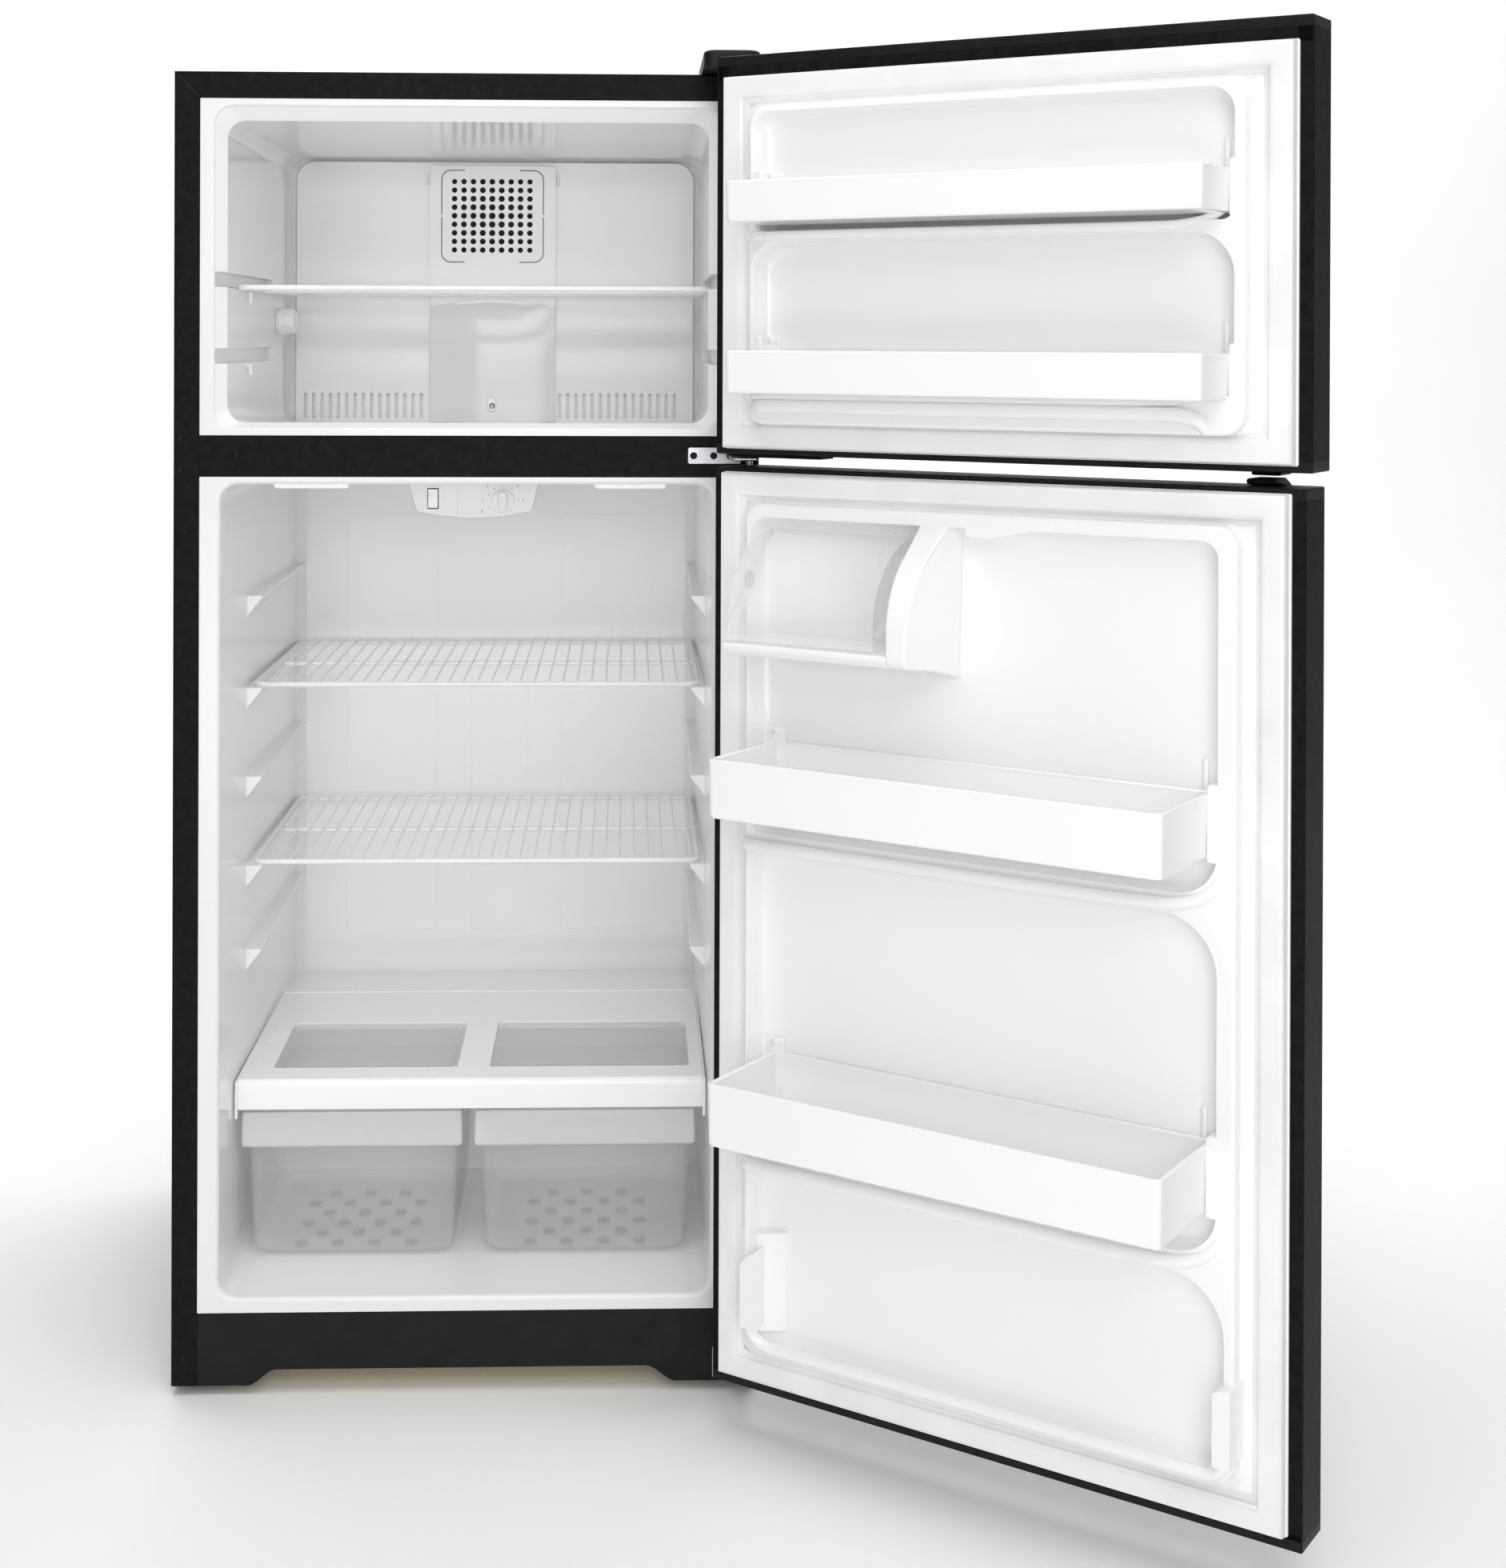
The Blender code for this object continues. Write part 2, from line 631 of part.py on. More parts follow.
def door_section(inset, open_back):
    """The door's outline across its height, from its hinge edge round the front to its free edge."""
    radius = DOOR_EDGE_RADIUS
    low = (radius, DOOR_THICKNESS - radius)
    high = (WIDTH - radius, DOOR_THICKNESS - radius)
    left = arc(low, radius - inset, 180, 90)
    right = arc(high, radius - inset, 90, 0)
    if open_back:
        return [(HEM, inset), (inset, inset), *left, *right, (WIDTH - inset, inset), (WIDTH - HEM, inset)]
    return [(inset, inset), *left, *right, (WIDTH - inset, inset)]


def door_body(door, low, high, frame, steel, plastic, foam_finish):
    """The folded steel skin, its foam and its two end caps with their pin holes."""
    outline = door_section(0, True) + door_section(DOOR_SHEET, True)[::-1]
    prism(f"{door}_shell", outline, "z", low + CAP + GAP, high - CAP - GAP, steel, frame)
    inner = door_section(DOOR_SHEET + GAP, False)
    prism(f"{door}_foam", inner, "z", low + CAP + GAP, high - CAP - GAP, foam_finish, frame)
    outer = door_section(0, False)
    pin = (HINGE_U, HINGE_V)
    top = prism(f"{door}_top_cap", outer, "z", high - CAP, high, plastic, frame)
    cut(top, rod(f"{door}_top_hole", pin, PIN_HOLE, "z", high - CAP + 0.001, high + 0.05, None, frame, 12))
    bottom = prism(f"{door}_bottom_cap", outer, "z", low, low + CAP, plastic, frame)
    if door == "freezer_door":
        stop_low = (0.004, 0.028, low - 0.0048)
        join(bottom, box("door_stop", stop_low, (0.124, 0.060, low + 0.002), None, frame))
    hole = (low - 0.05, low + CAP - 0.001)
    cut(bottom, rod(f"{door}_bottom_hole", pin, PIN_HOLE, "z", *hole, None, frame, 12))


def door_liner(door, flange, dike, shelves, frame, white):
    """The white inner panel: a flange, a raised dike round a pocket, and ledges across the pocket."""
    plate = box(f"{door}_liner", (0.0145, LINER_FACE, flange[0]), (0.6965, -GAP, flange[1]), white, frame)
    outer = {
        LINER_FACE + 0.001: (0.050, 0.660, dike[0] - 0.002, dike[1] + 0.002),
        DIKE_CREST: (0.060, 0.648, dike[0], dike[1]),
    }
    rings = [along("y", rounded((u0, z0), (u1, z1), 0.02), v) for v, (u0, u1, z0, z1) in outer.items()]
    join(plate, loft(f"{door}_dike", rings, None, frame))
    pocket = {
        LINER_FACE: (0.084, 0.622, dike[0] + 0.024, dike[1] - 0.024),
        DIKE_CREST - 0.01: (0.073, 0.633, dike[0] + 0.014, dike[1] - 0.014),
    }
    rings = [along("y", rounded((u0, z0), (u1, z1), 0.015), v) for v, (u0, u1, z0, z1) in pocket.items()]
    cut(plate, loft(f"{door}_pocket", rings, None, frame))
    bars = [((0.070, DIKE_CREST - 0.010, z0), (0.636, LINER_FACE + 0.001, z1)) for z0, z1 in shelves]
    return join(plate, boxes(f"{door}_ledges", bars, None, frame))


def gasket(door, low, high, frame, rubber):
    outer = (0.0150, 0.6945)
    corner = (outer[1], LINER_FACE - GAP, high)
    ring = box(f"{door}_gasket", (outer[0], GASKET_FACE, low), corner, rubber, frame)
    inner_low = (outer[0] + GASKET_WIDTH, -0.05, low + GASKET_WIDTH)
    inner_high = (outer[1] - GASKET_WIDTH, 0.01, high - GASKET_WIDTH)
    cut(ring, box(f"{door}_gasket_space", inner_low, inner_high, None, frame))


def bin_tray(name, low, high, reach, frame, white):
    """An open door bin, standing in the pocket between its lugs, whose ends taper towards its front."""
    wall = 0.003
    back = -0.006
    taper = 0.004

    def outline(inset):
        front = -reach + inset
        return [
            (BIN_ENDS[0] + inset, back - inset),
            (BIN_ENDS[0] + taper + inset, front),
            (BIN_ENDS[1] - taper - inset, front),
            (BIN_ENDS[1] - inset, back - inset),
        ]

    tray = prism(name, outline(0), "z", low, high, white, frame)
    cut(tray, prism(name + "_space", outline(wall), "z", low + wall, high + 0.1, None, frame))


def lugs(name, bins, frame):
    """A support at each end of each bin, from the dike to the bin's end wall."""
    spans = []
    for low, high in bins:
        for u0, u1 in ((0.070, BIN_ENDS[0] - GAP), (BIN_ENDS[1] + GAP, 0.638)):
            spans.append(((u0, -0.026, low + 0.004), (u1, -0.008, high - 0.012)))
    return boxes(name, spans, None, frame)


def handle(name, foot, end, door_edge, frame, plastic):
    """A bar handle: its foot hooks over the door's edge, and it stands off the door's face."""
    face = DOOR_THICKNESS + GAP
    out = DOOR_THICKNESS + HANDLE_REACH
    up = 1 if end > foot else -1
    thick = 0.014
    lip = door_edge - up * GAP
    outline = [
        (0.036, foot),
        (face + 0.010, foot),
        (out - 0.006, foot + up * 0.014),
        (out, foot + up * 0.040),
        (out, end - up * 0.040),
        (out - 0.006, end - up * 0.012),
        (face + 0.006, end),
        (face, end),
        (face, end - up * 0.045),
        (out - thick, end - up * 0.060),
        (out - thick, foot + up * 0.075),
        (face, foot + up * 0.060),
        (face, lip),
        (0.036, lip),
    ]
    prism(name, outline, "x", *HANDLE_U, plastic, frame)


def dairy(frame, clear):
    """The dairy compartment's clear cover, a quarter round that is hinged along its top."""
    radius = 0.098
    thick = 0.002
    centre = (0.014, -0.104)
    skirt = -0.124
    outer = [*arc(centre, radius, 90, 180, 8), (centre[0] - radius, skirt)]
    inner = [*arc(centre, radius - thick, 90, 180, 8), (centre[0] - radius + thick, skirt)]
    hinge_line = pivot("dairy_cover_pivot", (0, *DAIRY_HINGE), frame)
    prism("dairy_cover", outer + inner[::-1], "x", *DAIRY_U, clear, hinge_line)


def dairy_box(frame):
    """The dairy compartment's floor and its thick end wall, formed in the door liner."""
    u0, u1 = DAIRY_U
    front = -0.104
    root = LINER_FACE + 0.001
    end = u1 + 0.030
    floor = box("dairy_floor", (u0 - 0.004, front, 0.925), (end, root, 0.931), None, frame)
    return floor, box("dairy_wall", (u1 + 0.004, front, 0.930), (end, root + 0.001, 1.064), None, frame)


def doors(finishes):
    steel, plastic, white, rubber, foam_finish, clear = finishes
    x = SIDE - HINGE_U
    y = FRONT - DOOR_STANDOFF - HINGE_V
    frames = {}
    for door, turn in (("freezer_door", FREEZER_ANGLE), ("fridge_door", FRIDGE_ANGLE)):
        hinge_line = pivot(f"{door}_pivot", (x, y, 0), None, turn)
        frames[door] = pivot(f"{door}_frame", (HINGE_U, HINGE_V, 0), hinge_line, math.pi)

    frame = frames["freezer_door"]
    door_body("freezer_door", *FREEZER_DOOR, frame, steel, plastic, foam_finish)
    shelves = ((1.384, 1.394), (1.190, 1.200))
    panel = door_liner("freezer_door", (1.145, 1.580), (1.176, 1.532), shelves, frame, white)
    join(panel, lugs("freezer_lugs", FREEZER_BINS.values(), frame))
    gasket("freezer_door", 1.1455, 1.5795, frame, rubber)
    for word, (low, high) in FREEZER_BINS.items():
        bin_tray(f"freezer_door_bin_{word}", low, high, FREEZER_BIN_REACH, frame, white)
    handle("freezer_door_handle", 1.1325, 1.440, FREEZER_DOOR[0], frame, plastic)

    frame = frames["fridge_door"]
    door_body("fridge_door", *FRIDGE_DOOR, frame, steel, plastic, foam_finish)
    shelves = ((0.687, 0.700), (0.319, 0.333))
    panel = door_liner("fridge_door", (0.063, 1.118), (0.112, 1.084), shelves, frame, white)
    join(panel, lugs("fridge_lugs", FRIDGE_BINS.values(), frame), *dairy_box(frame))
    gasket("fridge_door", 0.0635, 1.1175, frame, rubber)
    for word, (low, high) in FRIDGE_BINS.items():
        bin_tray(f"fridge_door_bin_{word}", low, high, FRIDGE_BIN_REACH, frame, white)
    handle("fridge_door_handle", 1.130, 0.760, FRIDGE_DOOR[1], frame, plastic)
    dairy(frame, clear)


def main():
    for thing in list(bpy.data.objects):
        bpy.data.objects.remove(thing)

    black = finish("black textured steel", (0.012, 0.012, 0.013), 0.45)
    black_plastic = finish("black plastic", (0.015, 0.015, 0.016), 0.5)
    white = finish("white liner plastic", (0.80, 0.80, 0.81), 0.3)
    clear = finish("clear plastic", (0.85, 0.87, 0.88), 0.1, alpha=0.35)
    wire = finish("white coated wire", (0.82, 0.82, 0.82), 0.35)
    rubber = finish("white gasket", (0.75, 0.75, 0.75), 0.6)
    dark_rubber = finish("black rubber", (0.02, 0.02, 0.02), 0.8)
    zinc = finish("zinc plated steel", (0.45, 0.46, 0.48), 0.35, 1.0)
    aluminium = finish("aluminium", (0.75, 0.76, 0.78), 0.35, 1.0)
    copper = finish("copper", (0.72, 0.36, 0.22), 0.35, 1.0)
    foam_finish = finish("insulating foam", (0.78, 0.68, 0.38), 0.9)
    board = finish("fibre board", (0.05, 0.05, 0.05), 0.8)

    cabinet_shell(black)
    rear_panels(zinc, board)
    foam(foam_finish)
    side = SIDE - SIDE_FLANGE - GAP
    box("mullion_bar", (-side, FRONT, MULLION_BOTTOM), (side, FRONT + SHEET, MULLION_TOP), black)
    supports = ledges("freezer_ledges", FREEZER_LEDGES, FREEZER_LEDGE_HEIGHT, -0.300, 0.180)
    lip = (MULLION_TOP + GAP, HEIGHT - TOP_FLANGE - GAP)
    liner("freezer_liner", freezer_space, lip, supports, white)
    supports = ledges("fridge_ledges", FRIDGE_LEDGES, FRIDGE_LEDGE_HEIGHT, -0.170, 0.256)
    liner("fridge_liner", fridge_space, (TOE_HEIGHT + GAP, MULLION_BOTTOM - GAP), supports, white)
    toe_grille(black_plastic)
    base(zinc, dark_rubber, black_plastic)

    compressor(finish("compressor enamel", (0.02, 0.02, 0.02), 0.4))
    condenser(copper, black_plastic, zinc)
    evaporator(aluminium, black_plastic, zinc, white)

    rack("freezer_shelf", FREEZER_SHELF_Z, FREEZER_SHELF_Y, wire)
    rack("fridge_shelf_upper", FRIDGE_SHELF_Z[0], FRIDGE_SHELF_Y, wire)
    rack("fridge_shelf_lower", FRIDGE_SHELF_Z[1], FRIDGE_SHELF_Y, wire)
    crisper_cover(white, clear)
    drawer("crisper_drawer_left", -0.2845, -0.0115, clear)
    drawer("crisper_drawer_right", 0.0055, 0.2795, clear)
    controls(white, clear)
    hinges(zinc, black_plastic)
    doors((black, black_plastic, white, rubber, foam_finish, clear))


main()
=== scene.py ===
import json
import math

import bmesh
import bpy
from mathutils import Matrix, Vector
from mathutils.geometry import delaunay_2d_cdt


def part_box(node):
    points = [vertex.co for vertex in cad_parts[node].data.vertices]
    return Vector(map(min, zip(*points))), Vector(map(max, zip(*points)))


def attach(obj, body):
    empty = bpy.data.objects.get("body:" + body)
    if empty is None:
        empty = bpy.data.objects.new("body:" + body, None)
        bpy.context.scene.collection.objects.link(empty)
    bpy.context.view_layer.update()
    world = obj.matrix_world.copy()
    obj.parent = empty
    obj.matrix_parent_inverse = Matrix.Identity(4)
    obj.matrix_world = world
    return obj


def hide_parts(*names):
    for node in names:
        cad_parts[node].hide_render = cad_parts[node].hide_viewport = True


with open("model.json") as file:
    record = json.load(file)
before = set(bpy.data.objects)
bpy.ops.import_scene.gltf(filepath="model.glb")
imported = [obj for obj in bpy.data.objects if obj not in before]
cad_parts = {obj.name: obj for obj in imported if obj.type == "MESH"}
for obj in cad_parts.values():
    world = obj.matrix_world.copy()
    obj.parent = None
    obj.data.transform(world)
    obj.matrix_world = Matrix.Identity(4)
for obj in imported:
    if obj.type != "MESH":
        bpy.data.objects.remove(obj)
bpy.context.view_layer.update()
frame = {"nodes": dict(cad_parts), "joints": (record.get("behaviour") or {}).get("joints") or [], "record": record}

# Places that several pieces share, in metres in the row frame
SHELL_LOW, SHELL_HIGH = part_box("cabinet_shell")
MULLION_LOW, MULLION_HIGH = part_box("mullion_bar")
FRONT = SHELL_LOW.y
SIDE = SHELL_HIGH.x
TOP = SHELL_HIGH.z
FLANGE = SIDE - MULLION_HIGH.x
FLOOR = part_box("levelling_leg_left")[0].z
LINER_SIDE = MULLION_HIGH.x
FRIDGE_WALL = 0.2985
REAR_WALL = 0.295
LINER_BACK = 0.2815

# Door space: u from the hinge edge, v out of the front face from the back edge, z up
HINGE_U = 0.0152
HINGE_V = 0.0506
THICKNESS = 0.064
WIDTH = 0.711
CREST = -0.030
POCKET_FLOOR = -0.0035
GASKET_OUTER = (0.0150, 0.6945)


# Shapes


def arc(centre, radius, start, stop, steps=6):
    """Points on an arc, with its angles in degrees."""
    turns = [math.radians(start + (stop - start) * i / steps) for i in range(steps + 1)]
    return [(centre[0] + radius * math.cos(t), centre[1] + radius * math.sin(t)) for t in turns]


def circle(centre, radius, sides=24):
    return arc(centre, radius, 0, 360 - 360 / sides, sides - 1)


def rounded(low, high, radii, steps=6):
    """A rectangle with round corners. The radii run from the high corner anticlockwise."""
    a, b, c, d = radii if isinstance(radii, (list, tuple)) else (radii,) * 4
    return (
        arc((high[0] - a, high[1] - a), a, 0, 90, steps)
        + arc((low[0] + b, high[1] - b), b, 90, 180, steps)
        + arc((low[0] + c, low[1] + c), c, 180, 270, steps)
        + arc((high[0] - d, low[1] + d), d, 270, 360, steps)
    )


def inset(low, high, radii, by, steps=6):
    """The rounded rectangle moved inwards, or outwards for a negative distance."""
    shrunk = [max(radius - by, 0.001) for radius in radii]
    return rounded((low[0] + by, low[1] + by), (high[0] - by, high[1] - by), shrunk, steps)


def along(axis, outline, place):
    """The outline's points in space, on the plane at this place along the axis."""
    if axis == "x":
        return [(place, a, b) for a, b in outline]
    if axis == "y":
        return [(a, place, b) for a, b in outline]
    return [(a, b, place) for a, b in outline]


def fillet(path, radius, steps=5):
    """The open path with its inner corners replaced by arcs of about this radius."""
    points = [Vector(p) for p in path]
    smooth = [points[0]]
    for before, corner, after in zip(points, points[1:], points[2:]):
        back = before - corner
        ahead = after - corner
        reach = min(radius, back.length * 0.49, ahead.length * 0.49)
        start = corner + back.normalized() * reach
        stop = corner + ahead.normalized() * reach
        for i in range(steps + 1):
            t = i / steps
            smooth.append(start * (1 - t) ** 2 + corner * 2 * t * (1 - t) + stop * t**2)
    smooth.append(points[-1])
    return [tuple(point) for point in smooth]


def soften(t):
    """0 to 1 with level ends."""
    t = min(max(t, 0.0), 1.0)
    return t * t * (3 - 2 * t)


def settle(t):
    """0 to 1 with a sudden start and a level end."""
    t = min(max(t, 0.0), 1.0)
    return t * (2 - t)


class Form:
    """The points and faces of one piece, gathered from simple shapes and placed by a matrix."""

    def __init__(self, space=None):
        self.space = space or Matrix.Identity(4)
        self.points = []
        self.faces = []

    def add(self, points, faces):
        first = len(self.points)
        self.points += [tuple(self.space @ Vector(point)) for point in points]
        self.faces += [tuple(first + i for i in face) for face in faces]

    def loft(self, rings, start=True, stop=True, ring_closed=True):
        """A skin through rings of the same number of points."""
        count = len(rings[0])
        faces = []
        if start:
            faces.append(tuple(range(count))[::-1])
        last = (len(rings) - 1) * count
        if stop:
            faces.append(tuple(range(last, last + count)))
        for ring in range(len(rings) - 1):
            for i in range(count if ring_closed else count - 1):
                a = ring * count + i
                b = ring * count + (i + 1) % count
                faces.append((a, b, b + count, a + count))
        self.add([point for ring in rings for point in ring], faces)
        return self

    def prism(self, outline, axis, start, stop):
        return self.loft([along(axis, outline, start), along(axis, outline, stop)])

    def block(self, low, high):
        outline = [(low[0], low[1]), (high[0], low[1]), (high[0], high[1]), (low[0], high[1])]
        return self.prism(outline, "z", low[2], high[2])

    def turned(self, profile, centre, axis, sides=32):
        """A solid of revolution: the profile lists (radius, place along the axis)."""
        return self.loft([along(axis, circle(centre, radius, sides), place) for radius, place in profile])

    def tube(self, path, radius, sides=10, closed=False):
        """A round tube along a path of points."""
        points = [Vector(point) for point in path]
        count = len(points)
        rings = []
        normal = None
        for i, point in enumerate(points):
            ahead = points[(i + 1) % count] if closed or i < count - 1 else point
            behind = points[i - 1] if closed or i > 0 else point
            tangent = (ahead - behind).normalized()
            if normal is None:
                helper = Vector((0, 0, 1)) if abs(tangent.z) < 0.9 else Vector((1, 0, 0))
                normal = tangent.cross(helper).normalized()
            normal = (normal - tangent * normal.dot(tangent)).normalized()
            side = tangent.cross(normal)
            turns = [2 * math.pi * k / sides for k in range(sides)]
            rings.append([point + radius * (normal * math.cos(t) + side * math.sin(t)) for t in turns])
        if closed:
            rings.append(rings[0])
        return self.loft(rings, not closed, not closed)

    def plate(self, outline, holes, axis, place):
        """A flat face with holes in it, on the plane at this place along the axis."""
        loops = [outline, *holes]
        flat = []
        edges = []
        for loop in loops:
            first = len(flat)
            flat += [Vector(point) for point in loop]
            edges += [(first + i, first + (i + 1) % len(loop)) for i in range(len(loop))]
        found = delaunay_2d_cdt(flat, edges, [], 0, 1e-7)
        corners, triangles = found[0], found[2]
        kept = []
        for triangle in triangles:
            middle = sum((corners[i] for i in triangle), Vector((0, 0))) / 3
            if inside(middle, outline) and not any(inside(middle, hole) for hole in holes):
                kept.append(triangle)
        self.add(along(axis, [tuple(corner) for corner in corners], place), kept)
        return self

    def sheet(self, across, up, surface, pockets=(), depth=0.0):
        """A grid of cells over two lists of places. A pocket is a cell sunk to a flat floor this much deeper."""
        columns = len(across)
        points = [surface(a, b) for b in up for a in across]
        faces = []
        for j in range(len(up) - 1):
            for i in range(columns - 1):
                corner = j * columns + i
                cell = (corner, corner + 1, corner + columns + 1, corner + columns)
                if (i, j) not in pockets:
                    faces.append(cell)
                    continue
                first = len(points)
                points += [(points[k][0], points[k][1] + depth, points[k][2]) for k in cell]
                faces.append(tuple(range(first, first + 4)))
                for side in range(4):
                    after = (side + 1) % 4
                    faces.append((cell[side], cell[after], first + after, first + side))
        self.add(points, faces)
        return self


def inside(point, loop):
    """Whether a point lies in a closed outline."""
    found = False
    for (x0, y0), (x1, y1) in zip(loop, loop[1:] + loop[:1]):
        if (y0 > point[1]) != (y1 > point[1]) and point[0] < (x1 - x0) * (point[1] - y0) / (y1 - y0) + x0:
            found = not found
    return found


def mesh_of(name, form, merge=1e-6):
    mesh = bpy.data.meshes.new(name)
    mesh.from_pydata(form.points, [], form.faces)
    build = bmesh.new()
    build.from_mesh(mesh)
    bmesh.ops.remove_doubles(build, verts=build.verts, dist=merge)
    bmesh.ops.recalc_face_normals(build, faces=build.faces)
    build.to_mesh(mesh)
    build.free()
    return mesh


def placed(name, mesh, body, slot, nodes=(), bevel=0.0, segments=3, crease=38.0):
    """The mesh as a piece of the object, with its edges rounded, its finish, its body and what it stands for."""
    mesh.shade_smooth()
    mesh.set_sharp_from_angle(angle=math.radians(crease))
    mesh.materials.append(MATERIALS[slot])
    thing = bpy.data.objects.new(name, mesh)
    bpy.context.scene.collection.objects.link(thing)
    if bevel:
        rounding = thing.modifiers.new("Rounding", "BEVEL")
        rounding.width = bevel
        rounding.segments = segments
        rounding.limit_method = "ANGLE"
        rounding.angle_limit = math.radians(35)
        rounding.miter_outer = "MITER_ARC"
    shading = thing.modifiers.new("Shading", "WEIGHTED_NORMAL")
    shading.keep_sharp = not bevel
    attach(thing, body)
    if nodes:
        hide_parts(*nodes)
    return thing


def piece(name, form, body, slot, nodes=(), bevel=0.0, segments=3, crease=38.0):
    return placed(name, mesh_of(name, form), body, slot, nodes, bevel, segments, crease)


def carved(name, form, cutters, added=()):
    """The mesh of a closed form with other closed forms taken out of it or joined to it."""
    main = bpy.data.objects.new(name, mesh_of(name, form))
    bpy.context.scene.collection.objects.link(main)
    tools = []
    for operation, forms in (("UNION", added), ("DIFFERENCE", cutters)):
        for tool_form in forms:
            tool = bpy.data.objects.new(name + "_tool", mesh_of(name + "_tool", tool_form))
            bpy.context.scene.collection.objects.link(tool)
            step = main.modifiers.new("Step", "BOOLEAN")
            step.operation = operation
            step.solver = "EXACT"
            step.object = tool
            tools.append(tool)
    graph = bpy.context.evaluated_depsgraph_get()
    mesh = bpy.data.meshes.new_from_object(main.evaluated_get(graph))
    for thing in (main, *tools):
        bpy.data.objects.remove(thing)
    return mesh


def door_space(joint_name):
    """The matrix from a door's own space to the row frame, from its hinge joint."""
    joint = next(joint for joint in frame["joints"] if joint["name"] == joint_name)
    swing = math.radians(-joint["range_deg"][0])
    hinge = Matrix.Translation((joint["pos_m"][0], joint["pos_m"][1], 0))
    shift = Matrix.Translation((HINGE_U, HINGE_V, 0))
    return hinge @ Matrix.Rotation(swing, 4, "Z") @ shift @ Matrix.Rotation(math.pi, 4, "Z")


# Materials


def shader_of(name, colour, roughness, **settings):
    """A material and its shader, with constant settings on the shader's own sockets."""
    material = bpy.data.materials.new(name)
    material.use_nodes = True
    shader = material.node_tree.nodes["Principled BSDF"]
    shader.inputs["Base Color"].default_value = (*colour, 1)
    shader.inputs["Roughness"].default_value = roughness
    for label, value in settings.items():
        shader.inputs[label.replace("_", " ")].default_value = value
    return material, shader


def node(material, kind, **settings):
    made = material.node_tree.nodes.new(kind)
    for label, value in settings.items():
        if hasattr(made, label):
            setattr(made, label, value)
        else:
            made.inputs[label.replace("_", " ")].default_value = value
    return made


def link(material, source, target):
    material.node_tree.links.new(source, target)


def object_space(material):
    return node(material, "ShaderNodeTexCoord").outputs["Object"]


def noise(material, scale, detail=2.0, stretch=None):
    """A noise texture in the object's own space, stretched by three factors if they are given."""
    place = object_space(material)
    if stretch:
        mapping = node(material, "ShaderNodeMapping")
        mapping.inputs["Scale"].default_value = stretch
        link(material, place, mapping.inputs["Vector"])
        place = mapping.outputs["Vector"]
    texture = node(material, "ShaderNodeTexNoise", Scale=scale, Detail=detail)
    link(material, place, texture.inputs["Vector"])
    return texture.outputs["Fac"]


def spread(material, value, low, high):
    """A value from 0 to 1 mapped to a range."""
    mapped = node(material, "ShaderNodeMapRange")
    mapped.inputs["From Min"].default_value = 0.3
    mapped.inputs["From Max"].default_value = 0.7
    mapped.inputs["To Min"].default_value = low
    mapped.inputs["To Max"].default_value = high
    link(material, value, mapped.inputs["Value"])
    return mapped.outputs["Result"]


def tint(material, shader, value, dark, light):
    ramp = node(material, "ShaderNodeValToRGB")
    ramp.color_ramp.elements[0].position = 0.3
    ramp.color_ramp.elements[1].position = 0.7
    ramp.color_ramp.elements[0].color = (*dark, 1)
    ramp.color_ramp.elements[1].color = (*light, 1)
    link(material, value, ramp.inputs["Fac"])
    link(material, ramp.outputs["Color"], shader.inputs["Base Color"])


def bump(material, shader, height, distance, strength=1.0):
    relief = node(material, "ShaderNodeBump", Strength=strength, Distance=distance)
    link(material, height, relief.inputs["Height"])
    link(material, relief.outputs["Normal"], shader.inputs["Normal"])


def black_steel():
    """Black enamel with a fine pebble texture."""
    material, shader = shader_of("black pebbled steel", (0.006, 0.006, 0.006), 0.50, Specular_IOR_Level=0.07)
    pebbles = node(material, "ShaderNodeTexVoronoi", Scale=620.0, feature="SMOOTH_F1")
    link(material, object_space(material), pebbles.inputs["Vector"])
    bump(material, shader, pebbles.outputs["Distance"], 0.0004, 0.5)
    tint(material, shader, noise(material, 90.0), (0.006, 0.006, 0.006), (0.011, 0.011, 0.011))
    link(material, spread(material, noise(material, 5.0), 0.47, 0.54), shader.inputs["Roughness"])
    return material


def black_plastic():
    material, shader = shader_of("black moulded plastic", (0.007, 0.007, 0.007), 0.5, Specular_IOR_Level=0.2)
    grain = noise(material, 900.0, 3.0)
    bump(material, shader, grain, 0.0002, 0.5)
    tint(material, shader, noise(material, 40.0), (0.006, 0.006, 0.006), (0.010, 0.010, 0.010))
    return material


def formed_white(name, light, dark, roughness):
    """Glossy white plastic sheet with the slight unevenness that forming leaves."""
    material, shader = shader_of(name, light, roughness)
    tint(material, shader, noise(material, 3.0, 1.0), dark, light)
    bump(material, shader, noise(material, 14.0, 0.0), 0.0010, 0.08)
    link(material, spread(material, noise(material, 4.0, 0.0), roughness - 0.015, roughness + 0.02), shader.inputs["Roughness"])
    return material


def clear_plastic():
    """Clear plastic, whose body shows least face on and most at its edges."""
    material, shader = shader_of("clear plastic", (0.97, 0.97, 0.975), 0.05)
    facing = node(material, "ShaderNodeLayerWeight", Blend=0.25)
    body = node(material, "ShaderNodeMapRange")
    body.inputs["To Min"].default_value = 0.13
    body.inputs["To Max"].default_value = 0.42
    link(material, facing.outputs["Facing"], body.inputs["Value"])
    link(material, body.outputs["Result"], shader.inputs["Alpha"])
    bump(material, shader, noise(material, 30.0, 0.0), 0.0006, 0.1)
    return material


def frosted_band():
    """The drawers' frosted pull bands."""
    material, shader = shader_of("frosted plastic band", (0.97, 0.97, 0.975), 0.16, Alpha=0.42)
    bump(material, shader, noise(material, 260.0, 1.0), 0.0003, 0.2)
    tint(material, shader, noise(material, 60.0), (0.95, 0.95, 0.955), (0.98, 0.98, 0.985))
    return material


